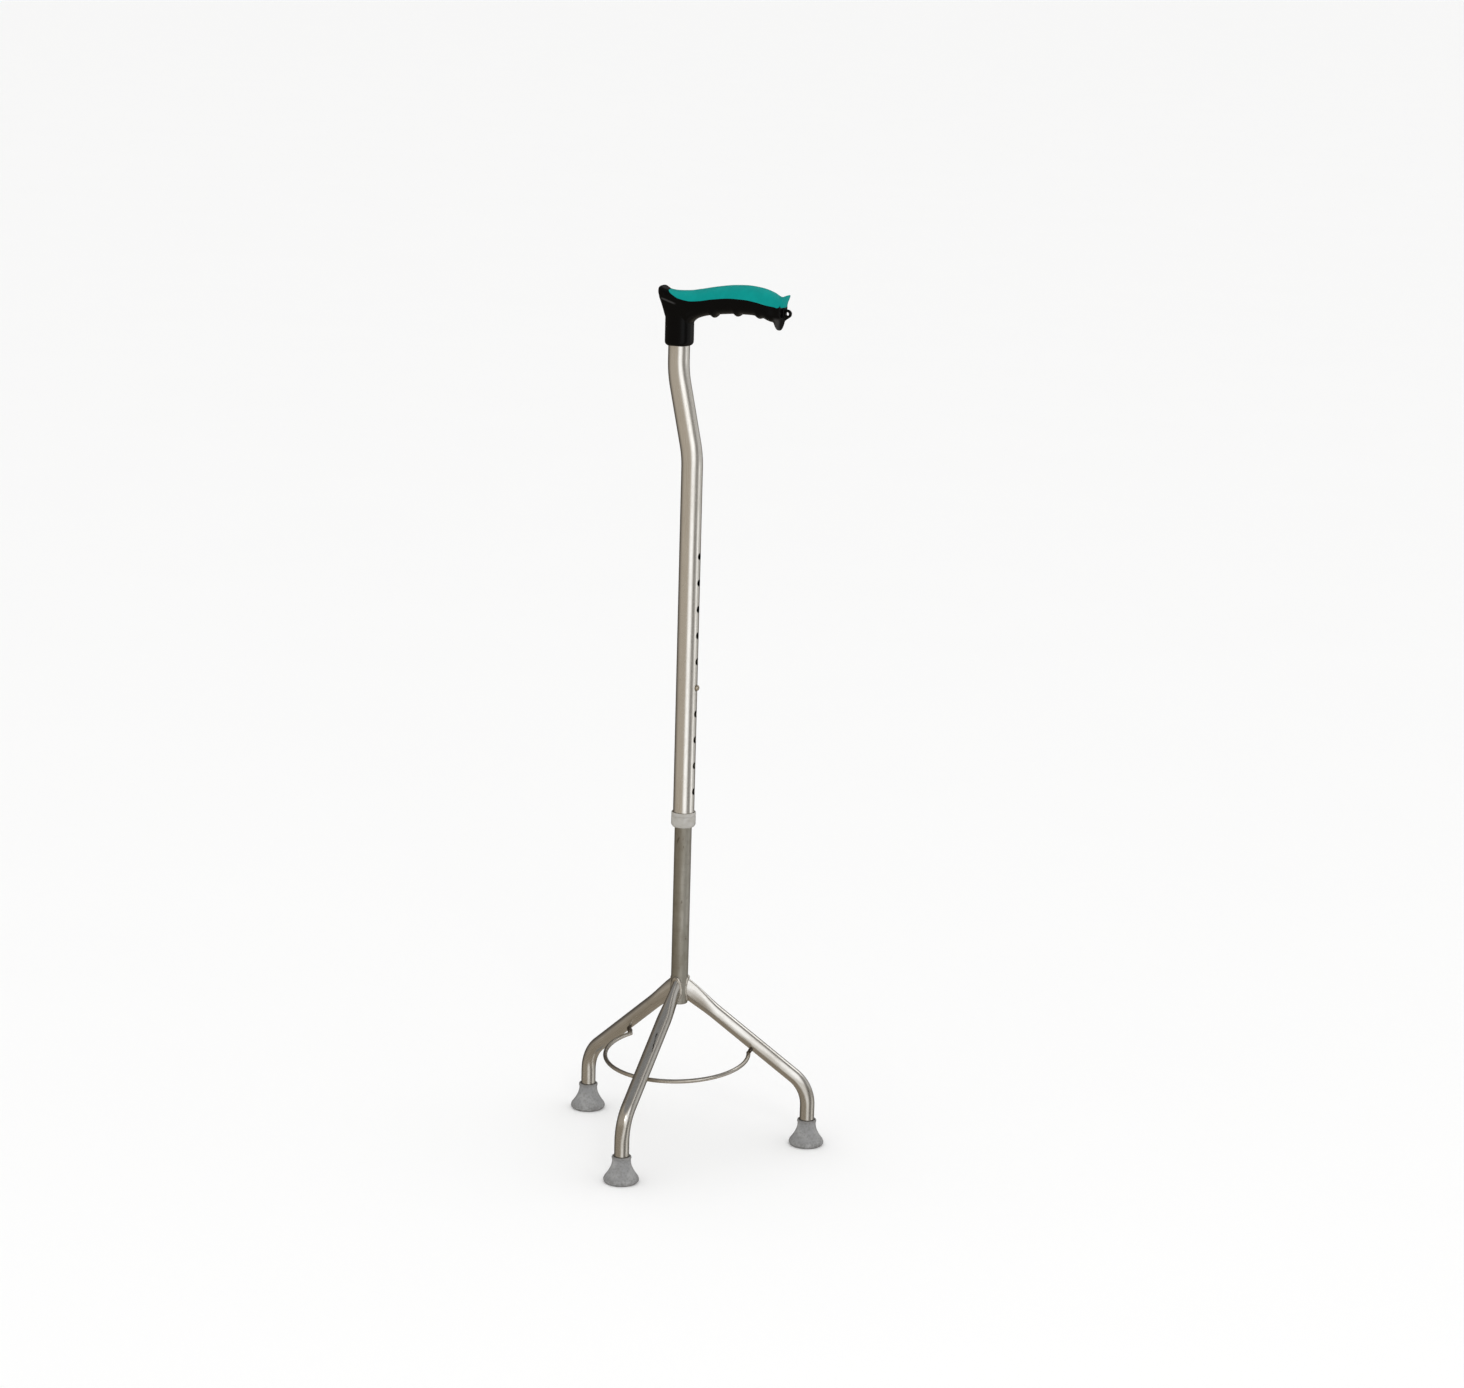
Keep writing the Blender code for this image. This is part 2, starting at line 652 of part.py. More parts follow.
def hook_mesh():
    """Blunt finger hook below the nose."""
    loops = []
    reach = 13.0 * MM
    steps = 6
    sides = 14
    for step in range(steps + 1):
        share = step / steps
        height = HOOK_TIP_HEIGHT + reach * share**1.6
        half_length = 6.2 * MM * max(share, 0.06) ** 0.6
        half_width = 6.8 * MM * max(share, 0.06) ** 0.6
        centre = HOOK_TIP_LENGTH - 0.6 * MM * share
        loops.append([
            Vector((centre + half_length * math.cos(turn), half_width * math.sin(turn), height))
            for turn in (2.0 * math.pi * side / sides for side in range(sides))
        ])
    return loft("hook", loops)


def eyelet_tab_mesh():
    """Flat tab beyond the nose, round at its end."""
    half = EYELET_TAB_THICKNESS / 2.0
    root = BODY_END - 4.0 * MM
    outline = [Vector((root, 0.0, EYELET_HEIGHT + 4.2 * MM)), Vector((root, 0.0, EYELET_HEIGHT - 5.0 * MM))]
    for turn in spread(math.radians(-75.0), math.radians(75.0), 9):
        x = EYELET_LENGTH + EYELET_TAB_RADIUS * math.cos(turn)
        outline.append(Vector((x, 0.0, EYELET_HEIGHT + EYELET_TAB_RADIUS * math.sin(turn))))
    shift = Vector((0.0, half, 0.0))
    return loft("eyelet_tab", [[point - shift for point in outline], [point + shift for point in outline]])


def grip_body(finish, parent):
    """Black grip body: arm, socket, finger ridges, hook and strap eyelet, bored for tube and screw."""
    place = Vector((-NECK_OFFSET, 0.0, SOCKET_MOUTH))
    body = add_piece("handle_body", grip_bar_mesh(), finish, parent, place)
    for name, mesh in (("socket", socket_mesh()), ("hook", hook_mesh()), ("eyelet_tab", eyelet_tab_mesh())):
        helper = cutter("grip_" + name, mesh, parent)
        helper.location = place
        boolean(body, helper, "UNION")
    bore_radius = UPPER_RADIUS + GAP
    bore = turned_solid("bore", [(bore_radius, -2.0 * MM), (bore_radius, SOCKET_DEPTH)], TUBE_SIDES)
    eyelet = along_y(turned_solid("eyelet", [(EYELET_RADIUS, -8.0 * MM), (EYELET_RADIUS, 8.0 * MM)], 14))
    shifted(eyelet, (EYELET_LENGTH, 0.0, EYELET_HEIGHT))
    head_seat = SOCKET_HALF_WIDTH - SCREW_HEAD_THICKNESS - GAP
    shank = SCREW_RADIUS + GAP
    head = SCREW_HEAD_RADIUS + GAP
    way = [(shank, 0.0), (shank, head_seat), (head, head_seat), (head, SOCKET_HALF_WIDTH + 4.0 * MM)]
    screw_way = shifted(along_y(turned_solid("screw_way", way, 16)), (0.0, 0.0, SCREW_HEIGHT))
    for name, mesh in (("tube_bore", bore), ("eyelet_hole", eyelet), ("screw_hole", screw_way)):
        helper = cutter("grip_" + name, mesh, parent)
        helper.location = place
        boolean(body, helper, "DIFFERENCE")
    return body


def pad_loop(length, closed):
    """Pad section: its outside, then its underside, which runs straight across where it closes the nose."""
    edge = edge_turn(length, SEAT_GAP)
    outside = [section_point(length, turn, 0.0) for turn in spread(edge, math.pi - edge, 13)]
    if closed:
        underside = [outside[-1].lerp(outside[0], share) for share in spread(0.06, 0.94, 13)]
    else:
        inner = edge + 0.02
        underside = [section_point(length, turn, PAD_THICKNESS) for turn in spread(math.pi - inner, inner, 13)]
    return outside + underside


def pad_mesh():
    """Soft pad that wraps over the crown and closes the nose."""
    loops = [pad_loop(length, False) for length in seat_lengths()]
    nose = BODY_END + SEAT_GAP
    loops.append(pad_loop(nose, False))
    loops += [pad_loop(length, True) for length in spread(nose + 0.05 * MM, PAD_END, 4)]
    return loft("grip_pad", loops)


def handle_plug_mesh():
    """Plug inside the upper tube's end that the screw bites into."""
    radius = UPPER_BORE - GAP
    return turned_solid("handle_plug", [(radius, 4.0 * MM), (radius, SOCKET_DEPTH - 1.5 * MM)], TUBE_SIDES)


def screw_mesh():
    """Pan-head screw along Y, in from the socket's far side."""
    outline = [
        (0.5 * MM, 2.0 * MM),
        (SCREW_RADIUS, 4.0 * MM),
        (SCREW_RADIUS, SOCKET_HALF_WIDTH - SCREW_HEAD_THICKNESS),
        (SCREW_HEAD_RADIUS, SOCKET_HALF_WIDTH - SCREW_HEAD_THICKNESS),
        (SCREW_HEAD_RADIUS * 0.92, SOCKET_HALF_WIDTH - 0.5 * MM),
        (SCREW_HEAD_RADIUS * 0.6, SOCKET_HALF_WIDTH - 0.1 * MM),
    ]
    return along_y(turned_solid("handle_screw", outline, 16))


def build():
    """Build the whole cane."""
    clear_scene()
    steel = material("leg_steel", (0.42, 0.39, 0.34), 0.35, 1.0)
    bright = material("upper_aluminium", (0.62, 0.60, 0.57), 0.28, 1.0)
    dull = material("lower_steel", (0.36, 0.34, 0.30), 0.42, 1.0)
    rod = material("rod_steel", (0.40, 0.38, 0.35), 0.35, 1.0)
    rubber = material("tip_rubber", (0.20, 0.20, 0.20), 0.75)
    zinc = material("washer_zinc", (0.55, 0.55, 0.57), 0.4, 1.0)
    brass = material("button_brass", (0.55, 0.45, 0.28), 0.3, 1.0)
    spring = material("spring_steel", (0.45, 0.46, 0.48), 0.3, 1.0)
    bush = material("bush_nylon", (0.75, 0.74, 0.70), 0.5)
    clear = material("collar_plastic", (0.52, 0.50, 0.47), 0.4)
    plug = material("plug_plastic", (0.05, 0.05, 0.05), 0.6)
    black = material("handle_black", (0.004, 0.003, 0.003), 0.35)
    teal = material("grip_teal", (0.0, 0.30, 0.26), 0.5)

    base = empty("base_axis", (0.0, AXIS_Y, 0.0))
    upper = empty("upper_axis", (0.0, AXIS_Y, 0.0))

    lower_tube(dull, base)
    add_piece("glide_bush", bush_mesh(), bush, base)
    add_piece("stub_plug", stub_plug_mesh(), plug, base)
    leg, tip, washer = leg_mesh(), tip_mesh(), washer_mesh()
    for side, turn in LEG_ANGLES.items():
        foot = (FOOT_CIRCLE_RADIUS * math.cos(turn), FOOT_CIRCLE_RADIUS * math.sin(turn), 0.0)
        add_piece("leg_" + side, leg, steel, base, turn=turn)
        add_piece("tip_" + side, tip, rubber, base, foot)
        add_piece("washer_" + side, washer, zinc, base, foot)
    add_piece("brace_ring", ring_mesh(), rod, base)
    button_place = (0.0, 0.0, BUTTON_HEIGHT)
    add_piece("snap_button", snap_button_mesh(), brass, base, button_place)
    add_piece("button_spring", spring_mesh(), spring, base, button_place)

    upper_tube(bright, upper)
    add_piece("tube_collar", collar_mesh(), clear, upper)
    grip_body(black, upper)
    grip_place = (-NECK_OFFSET, 0.0, SOCKET_MOUTH)
    add_piece("grip_pad", pad_mesh(), teal, upper, grip_place)
    plug_piece = add_piece("handle_plug", handle_plug_mesh(), plug, upper, grip_place)
    way_radius = SCREW_RADIUS + GAP
    pilot = along_y(turned_solid("pilot", [(way_radius, 1.6 * MM), (way_radius, UPPER_RADIUS)], 12))
    pilot_punch = cutter("plug_pilot", shifted(pilot, (0.0, 0.0, SCREW_HEIGHT)), upper)
    pilot_punch.location = grip_place
    boolean(plug_piece, pilot_punch, "DIFFERENCE")
    screw_place = (-NECK_OFFSET, 0.0, SOCKET_MOUTH + SCREW_HEIGHT)
    add_piece("handle_screw", screw_mesh(), zinc, upper, screw_place)


build()
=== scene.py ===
"""Looks of the tripod walking cane: fine shapes, finishes, floor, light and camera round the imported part.

Metres, +Z up, the floor at z = 0, the grip's nose towards +X, the middle leg towards -Y.
"""

import logging  # noqa: E402
from dataclasses import dataclass, field  # noqa: E402
from enum import Enum  # noqa: E402
from math import asin, atan2, copysign, cos, exp, hypot, pi, radians, sin, sqrt, tan  # noqa: E402
from typing import Any, Optional, Sequence, Union  # noqa: E402

import bmesh  # noqa: E402
import bpy  # noqa: E402
from mathutils import Matrix, Vector  # noqa: E402


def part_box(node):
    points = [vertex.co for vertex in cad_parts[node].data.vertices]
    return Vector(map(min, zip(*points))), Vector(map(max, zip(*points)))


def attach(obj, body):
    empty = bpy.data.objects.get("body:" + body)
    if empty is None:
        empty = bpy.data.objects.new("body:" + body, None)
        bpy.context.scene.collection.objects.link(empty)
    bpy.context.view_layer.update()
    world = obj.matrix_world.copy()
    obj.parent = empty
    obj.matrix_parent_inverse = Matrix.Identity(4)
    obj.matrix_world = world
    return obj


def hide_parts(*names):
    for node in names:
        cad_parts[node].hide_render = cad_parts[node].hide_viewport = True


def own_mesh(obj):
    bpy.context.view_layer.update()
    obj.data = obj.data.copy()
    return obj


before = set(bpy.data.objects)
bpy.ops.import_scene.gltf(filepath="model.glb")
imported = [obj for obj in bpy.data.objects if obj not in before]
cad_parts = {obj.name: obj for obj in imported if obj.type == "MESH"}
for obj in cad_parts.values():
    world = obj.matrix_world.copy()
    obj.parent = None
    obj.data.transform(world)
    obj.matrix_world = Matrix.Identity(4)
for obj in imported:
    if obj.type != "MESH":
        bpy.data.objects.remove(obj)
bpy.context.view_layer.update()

LOG = logging.getLogger("cane")
MM = 0.001
GAP = 0.3 * MM
SHARP = 38.0
NOWHERE = (0.0, 0.0, 0.0)
Line = Sequence[tuple[float, float]]
Triple = tuple[float, float, float]
Inputs = dict[Union[str, int], Any]
Socket = bpy.types.NodeSocket
Surface = tuple[Any, Any, Any, float, float]


class Body(Enum):
    """The three bodies that move against each other."""

    BASE = "base"
    UPPER = "upper"
    BUTTON = "button"


# ---------------------------------------------------------------- curves and eases


def ease(share: float) -> float:
    """Ease from 0 to 1, flat at both ends."""
    share = min(max(share, 0.0), 1.0)
    return share * share * (3.0 - 2.0 * share)


def spread(start: float, end: float, count: int) -> list[float]:
    """Evenly spaced values, both ends included."""
    return [start + (end - start) * step / (count - 1) for step in range(count)]


def turns(count: int) -> list[float]:
    """Turns of evenly spaced points round a circle, from 0."""
    return [2.0 * pi * step / count for step in range(count)]


def round_off(turn: float, power: float) -> tuple[float, float]:
    """Cosine and sine of a turn, each raised to a power with its sign kept, for a squarish ring."""
    return tuple(copysign(abs(part) ** power, part) for part in (cos(turn), sin(turn)))


def from_corner(radius: float, height: float, steps: Line) -> list[tuple[float, float]]:
    """Outline points at steps in millimetres from a corner in metres."""
    return [(radius + out * MM, height + up * MM) for out, up in steps]


def shift(x: float, y: float, z: float) -> Matrix:
    """Matrix of a move."""
    return Matrix.Translation((x, y, z))


def read_line(line: Line, place: float) -> float:
    """Read a smooth curve through points, with no overshoot between them.

    Args:
        line: (length, value) points in millimetres, in order of length.
        place: Length in metres at which the curve is read.

    Returns:
        The curve's value in metres.
    """
    place = place / MM
    if place <= line[0][0]:
        return line[0][1] * MM
    if place >= line[-1][0]:
        return line[-1][1] * MM
    slopes = [(b[1] - a[1]) / (b[0] - a[0]) for a, b in zip(line, line[1:])]
    tangents = [slopes[0]]
    for before, after in zip(slopes, slopes[1:]):
        tangents.append(0.0 if before * after <= 0.0 else 2.0 * before * after / (before + after))
    tangents.append(slopes[-1])
    index = max(number for number in range(len(line) - 1) if line[number][0] <= place)
    start, end = line[index], line[index + 1]
    span = end[0] - start[0]
    t = (place - start[0]) / span
    value = (
        (2.0 * t**3 - 3.0 * t**2 + 1.0) * start[1]
        + (t**3 - 2.0 * t**2 + t) * span * tangents[index]
        + (3.0 * t**2 - 2.0 * t**3) * end[1]
        + (t**3 - t**2) * span * tangents[index + 1]
    )
    return value * MM


# ---------------------------------------------------------------- the modelling bench


def clear_bench() -> None:
    """Leave edit mode and deselect every object."""
    if bpy.context.mode != "OBJECT":
        bpy.ops.object.mode_set(mode="OBJECT")
    bpy.ops.object.select_all(action="DESELECT")


def take(piece: bpy.types.Object) -> None:
    """Make one object the active and only selected one."""
    clear_bench()
    piece.select_set(True)
    bpy.context.view_layer.objects.active = piece


def apply_modifier(piece: bpy.types.Object, kind: str, **settings: Any) -> None:
    """Add a modifier with the given settings and apply it.

    Args:
        piece: Object whose mesh is changed.
        kind: Blender's name of the modifier type.
        settings: Values of the modifier's properties.
    """
    take(piece)
    modifier = piece.modifiers.new(kind.title(), kind)
    for name, value in settings.items():
        setattr(modifier, name, value)
    bpy.ops.object.modifier_apply(modifier=modifier.name)


def combine(piece: bpy.types.Object, tool: bpy.types.Object, operation: str) -> None:
    """Apply an exact Boolean with a helper solid, and remove the helper.

    Args:
        piece: Object that is cut or added to.
        tool: Closed helper solid.
        operation: UNION, DIFFERENCE or INTERSECT.
    """
    apply_modifier(piece, "BOOLEAN", operation=operation, object=tool, solver="EXACT")
    bpy.data.objects.remove(tool, do_unlink=True)


def move_mesh(piece: bpy.types.Object, change: Matrix) -> bpy.types.Object:
    """Move, turn or scale an object's mesh and leave the object itself at the origin."""
    piece.data.transform(change)
    piece.data.update()
    return piece


def smooth(piece: bpy.types.Object, angle: float = SHARP) -> bpy.types.Object:
    """Shade an object smooth, with edges over an angle in degrees left sharp."""
    take(piece)
    bpy.ops.object.shade_smooth_by_angle(angle=radians(angle))
    return piece


def soften_edges(piece: bpy.types.Object, width: float, steps: int = 2, angle: float = SHARP) -> None:
    """Round the sharp edges of a finished shape.

    Args:
        piece: Object whose edges are rounded.
        width: Width of the rounding in metres.
        steps: Number of faces across it.
        angle: Least angle between two faces, in degrees, for their edge to be rounded.
    """
    apply_modifier(
        piece,
        "BEVEL",
        width=width,
        segments=steps,
        limit_method="ANGLE",
        angle_limit=radians(angle),
        use_clamp_overlap=True,
    )


class Blank:
    """A ring of points on the bench that grows into a shape by extruding, turning and scaling."""

    SEAT = "seat"

    def __init__(self, name: str, sides: int, radius: float = MM) -> None:
        """Lay down a level ring about the origin and open it for editing.

        Args:
            name: Name of the new object.
            sides: Number of points in the ring.
            radius: Radius of the ring.
        """
        clear_bench()
        bpy.ops.mesh.primitive_circle_add(vertices=sides, radius=radius, fill_type="NOTHING")
        self.piece = bpy.context.active_object
        self.piece.name = name
        self.piece.data.name = name
        self.sides = sides
        bpy.ops.object.mode_set(mode="EDIT")
        work = bmesh.from_edit_mesh(self.piece.data)
        layer = work.verts.layers.int.new(self.SEAT)
        for order, vertex in enumerate(work.verts):
            vertex[layer] = order
        bmesh.update_edit_mesh(self.piece.data)

    def place(self, points: Sequence[Vector]) -> None:
        """Set the open ring's points, each by its seat in the ring."""
        work = bmesh.from_edit_mesh(self.piece.data)
        layer = work.verts.layers.int[self.SEAT]
        for vertex in work.verts:
            if vertex.select:
                vertex.co = points[vertex[layer]]
        bmesh.update_edit_mesh(self.piece.data)

    def extrude_to(self, points: Sequence[Vector]) -> None:
        """Extrude the open ring and set the new ring's points."""
        bpy.ops.mesh.extrude_region_move()
        self.place(points)

    def move(self, step: Sequence[float]) -> None:
        """Move the open ring."""
        bpy.ops.transform.translate(value=tuple(step))

    def extrude(self, step: Sequence[float]) -> None:
        """Extrude the open ring by a step."""
        bpy.ops.mesh.extrude_region_move()
        self.move(step)

    def scale(self, factors: Sequence[float], centre: Sequence[float]) -> None:
        """Scale the open ring about a point."""
        bpy.ops.transform.resize(value=tuple(factors), center_override=tuple(centre))

    def spin(self, angle: float, centre: Sequence[float], axis: Sequence[float], steps: int) -> None:
        """Extrude the open ring along an arc.

        Args:
            angle: Angle of the arc in radians.
            centre: A point on the arc's axis.
            axis: Direction of the arc's axis.
            steps: Number of rings along the arc.
        """
        # The operator turns clockwise, seen against the axis.
        bpy.ops.mesh.spin(steps=steps, angle=-angle, center=tuple(centre), axis=tuple(axis))

    def cap(self) -> None:
        """Close every open end with a flat face."""
        bpy.ops.mesh.select_all(action="SELECT")
        bpy.ops.mesh.fill_holes(sides=0)

    def close(self) -> None:
        """Bridge the last ring to the first."""
        bpy.ops.mesh.select_all(action="DESELECT")
        bpy.ops.mesh.select_mode(type="EDGE")
        bpy.ops.mesh.select_non_manifold()
        bpy.ops.mesh.bridge_edge_loops()

    def done(self) -> bpy.types.Object:
        """Merge doubles, turn the faces outwards and shade the finished shape smooth."""
        bpy.ops.mesh.select_mode(type="VERT")
        bpy.ops.mesh.select_all(action="SELECT")
        bpy.ops.mesh.remove_doubles(threshold=0.002 * MM)
        bpy.ops.mesh.normals_make_consistent(inside=False)
        bpy.ops.object.mode_set(mode="OBJECT")
        layer = self.piece.data.attributes.get(self.SEAT)
        if layer is not None:
            self.piece.data.attributes.remove(layer)
        return smooth(self.piece)


def turned(name: str, outline: Line, sides: int, closed: bool = False) -> bpy.types.Object:
    """Turn an outline about Z, as on a lathe.

    Args:
        name: Name of the new object.
        outline: (radius, height) points in metres.
        sides: Number of points round.
        closed: True joins the outline's last point to its first, False caps both ends.

    Returns:
        The finished object.
    """
    blank = Blank(name, sides, outline[0][0])
    blank.move((0.0, 0.0, outline[0][1]))
    for (radius, height), (wider, higher) in zip(outline, outline[1:]):
        blank.extrude((0.0, 0.0, higher - height))
        factor = wider / radius
        blank.scale((factor, factor, 1.0), (0.0, 0.0, higher))
    if closed:
        blank.close()
    else:
        blank.cap()
    return blank.done()


def lofted(name: str, rings: Sequence[Sequence[Vector]], closed: bool = False) -> bpy.types.Object:
    """Extrude a ring through a row of sections.

    Args:
        name: Name of the new object.
        rings: Sections with the same number of points each.
        closed: True joins the last section to the first, False caps both ends.

    Returns:
        The finished object.
    """
    blank = Blank(name, len(rings[0]))
    blank.place(rings[0])
    for ring in rings[1:]:
        blank.extrude_to(ring)
    if closed:
        blank.close()
    else:
        blank.cap()
    return blank.done()


def swept(name: str, path: Sequence[Vector], radii: Sequence[float], sides: int) -> bpy.types.Object:
    """Sweep a round section along a path that runs back to its start.

    Args:
        name: Name of the new object.
        path: Points of the centreline.
        radii: Radius of the section at each point.
        sides: Number of points round.

    Returns:
        The finished object.
    """
    count = len(path)
    rings: list[list[Vector]] = []
    across: Optional[Vector] = None
    for index, point in enumerate(path):
        along = (path[(index + 1) % count] - path[index - 1]).normalized()
        if across is None:
            across = along.orthogonal().normalized()
        across = (across - along * across.dot(along)).normalized()
        other = along.cross(across)
        rings.append([
            point + radii[index] * (cos(turn) * across + sin(turn) * other)
            for turn in turns(sides)
        ])
    return lofted(name, rings, True)


def copied(piece: bpy.types.Object, name: str) -> bpy.types.Object:
    """Copy an object with a mesh of its own."""
    made = piece.copy()
    made.data = piece.data.copy()
    made.name = name
    made.data.name = name
    bpy.context.scene.collection.objects.link(made)
    return made


def drill(piece: bpy.types.Object, place: Matrix, outline: Line, sides: int = 40) -> None:
    """Cut a turned hole.

    Args:
        piece: Object that is drilled.
        place: Where the outline's axis stands.
        outline: (radius, height) points of the hole.
        sides: Number of points round.
    """
    combine(piece, move_mesh(turned("drill_helper", outline, sides), place), "DIFFERENCE")


# Turns of a shape modelled along +Z.
ALONG_X = Matrix(((0.0, 0.0, 1.0), (0.0, 1.0, 0.0), (-1.0, 0.0, 0.0))).to_4x4()
ALONG_Y = Matrix(((1.0, 0.0, 0.0), (0.0, 0.0, 1.0), (0.0, -1.0, 0.0))).to_4x4()


# ---------------------------------------------------------------- node work


class Graph:
    """A node tree under construction."""

    def __init__(self, tree: bpy.types.NodeTree) -> None:
        """Start work on a tree."""
        self.tree = tree

    def add(self, kind: str, inputs: Optional[Inputs] = None, **settings: Any) -> bpy.types.Node:
        """Add a node.

        Args:
            kind: Blender's node type.
            inputs: Sockets to link from, or values, by socket name or number.
            settings: Values of the node's properties.

        Returns:
            The new node.
        """
        node = self.tree.nodes.new(kind)
        for name, value in settings.items():
            setattr(node, name, value)
        for key, value in (inputs or {}).items():
            if isinstance(value, bpy.types.NodeSocket):
                self.link(value, node.inputs[key])
            else:
                node.inputs[key].default_value = value
        return node

    def link(self, source: Socket, target: Socket) -> None:
        """Link two sockets."""
        self.tree.links.new(source, target)

    def math(self, operation: str, first: Any, second: Any = 0.0, third: Any = 0.0) -> Socket:
        """Add a Math node and return its value."""
        return self.add("ShaderNodeMath", {0: first, 1: second, 2: third}, operation=operation).outputs[0]

    def times(self, first: Any, second: Any) -> Socket:
        """Multiply two values."""
        return self.math("MULTIPLY", first, second)

    def times_plus(self, first: Any, second: Any, third: Any) -> Socket:
        """Multiply two values and add a third."""
        return self.math("MULTIPLY_ADD", first, second, third)

    def away(self, value: Any, centre: Any) -> Socket:
        """Return a value's distance from a centre."""
        return self.math("ABSOLUTE", self.math("SUBTRACT", value, centre))

    def step(self, value: Any, low: Any, high: float, start: float = 0.0, end: float = 1.0) -> Socket:
        """Map a value from low..high to start..end with eased ends."""
        inputs = {"Value": value, "From Min": low, "From Max": high, "To Min": start, "To Max": end}
        return self.add("ShaderNodeMapRange", inputs, interpolation_type="SMOOTHSTEP").outputs[0]

    def fade(self, value: Any, low: float, high: float) -> Socket:
        """Map a value from low..high to 1..0 with eased ends."""
        return self.step(value, low, high, 1.0, 0.0)

    def blend(self, share: Any, first: Any, second: Any) -> Socket:
        """Mix two colours by a share and return the colour."""
        node = self.add("ShaderNodeMix", data_type="RGBA")
        for index, value in ((0, share), (6, first), (7, second)):
            if isinstance(value, bpy.types.NodeSocket):
                self.link(value, node.inputs[index])
            else:
                node.inputs[index].default_value = value if index == 0 else (*value, 1.0)
        return node.outputs[2]

    def tint(self, tone: Any, mask: Any, share: float, colour: Any) -> Socket:
        """Lay a colour over a tone where a mask shows, weakened by a share."""
        return self.blend(self.times(mask, share), tone, colour)

    def noise(
        self, vector: Any, scale: Any, detail: float = 3.0, rough: float = 0.55, warp: float = 0.0
    ) -> Socket:
        """Add a Noise Texture and return its value."""
        inputs = {"Vector": vector, "Scale": scale, "Detail": detail, "Roughness": rough, "Distortion": warp}
        return self.add("ShaderNodeTexNoise", inputs).outputs["Fac"]

    def split(self, vector: Socket) -> Any:
        """Return the X, Y and Z of a vector."""
        return self.add("ShaderNodeSeparateXYZ", {0: vector}).outputs

    def place(
        self, centre: Triple = NOWHERE, turn: Triple = NOWHERE, stretch: Triple = (1.0, 1.0, 1.0)
    ) -> Socket:
        """Return Object coordinates centred on a point, turned and stretched.

        Args:
            centre: Point in metres that becomes the pattern's origin.
            turn: Euler angles in radians of the pattern's own axes.
            stretch: Scale of the pattern along its own axes.

        Returns:
            The vector socket.
        """
        coords = self.add("ShaderNodeTexCoord").outputs["Object"]
        inputs = {"Vector": coords, "Location": centre, "Rotation": turn}
        local = self.add("ShaderNodeMapping", inputs, vector_type="TEXTURE").outputs[0]
        return self.add("ShaderNodeVectorMath", {0: local, 1: stretch}, operation="MULTIPLY").outputs[0]


def fill_scratches(graph: Graph, entry: Any, leave: Any) -> None:
    """Draw thin lines and sparse marks that run along the pattern's Z axis."""
    warp = graph.noise(entry["Vector"], 30.0, 2.0)
    bent = graph.add("ShaderNodeVectorMath", {0: entry["Vector"], 1: warp}, operation="ADD").outputs[0]
    fine = graph.noise(entry["Vector"], entry["Scale"], 4.0, 0.6)
    sparse = graph.noise(bent, graph.times(entry["Scale"], 0.35), 1.0, 0.5)
    graph.link(fine, leave["Lines"])
    graph.link(graph.step(sparse, entry["Threshold"], 0.8), leave["Marks"])


def fill_blotches(graph: Graph, entry: Any, leave: Any) -> None:
    """Draw soft stains, coarse and fine."""
    coarse = graph.noise(entry["Vector"], entry["Scale"], 3.0, 0.5, 0.6)
    small = graph.noise(entry["Vector"], graph.times(entry["Scale"], 6.0), 4.0, 0.5)
    graph.link(graph.step(coarse, 0.38, 0.68), leave["Coarse"])
    graph.link(graph.step(small, 0.42, 0.72), leave["Small"])


def fill_grain(graph: Graph, entry: Any, leave: Any) -> None:
    """Draw a moulded surface's fine pits and low swells."""
    inputs = {"Vector": entry["Vector"], "Scale": entry["Scale"]}
    cells = graph.add("ShaderNodeTexVoronoi", inputs, feature="SMOOTH_F1").outputs["Distance"]
    swell = graph.noise(entry["Vector"], graph.times(entry["Scale"], 0.6), 4.0, 0.7)
    graph.link(graph.times_plus(swell, 0.6, cells), leave["Height"])


def fill_wear(graph: Graph, entry: Any, leave: Any) -> None:
    """Draw edge wear, and dust on what faces up."""
    geometry = graph.add("ShaderNodeNewGeometry").outputs
    patches = graph.noise(entry["Vector"], 180.0, 5.0, 0.7)
    worn = graph.times(graph.step(geometry["Pointiness"], 0.52, 0.62), graph.step(patches, 0.4, 0.65))
    graph.link(graph.times(worn, entry["Edges"]), leave["Edge Mask"])
    upward = graph.split(geometry["Normal"])["Z"]
    settled = graph.times(graph.step(upward, 0.25, 1.0), graph.step(patches, 0.35, 0.75))
    graph.link(graph.times(settled, entry["Dust"]), leave["Dust Mask"])


# What fills each shared node group, its number inputs and its outputs. Its first input is a vector.
GROUPS = {
    "drawn_scratches": (fill_scratches, {"Scale": 900.0, "Threshold": 0.66}, ("Lines", "Marks")),
    "soft_blotches": (fill_blotches, {"Scale": 40.0}, ("Coarse", "Small")),
    "moulded_grain": (fill_grain, {"Scale": 1500.0}, ("Height",)),
    "edge_wear_and_dust": (fill_wear, {"Edges": 0.5, "Dust": 0.3}, ("Edge Mask", "Dust Mask")),
}


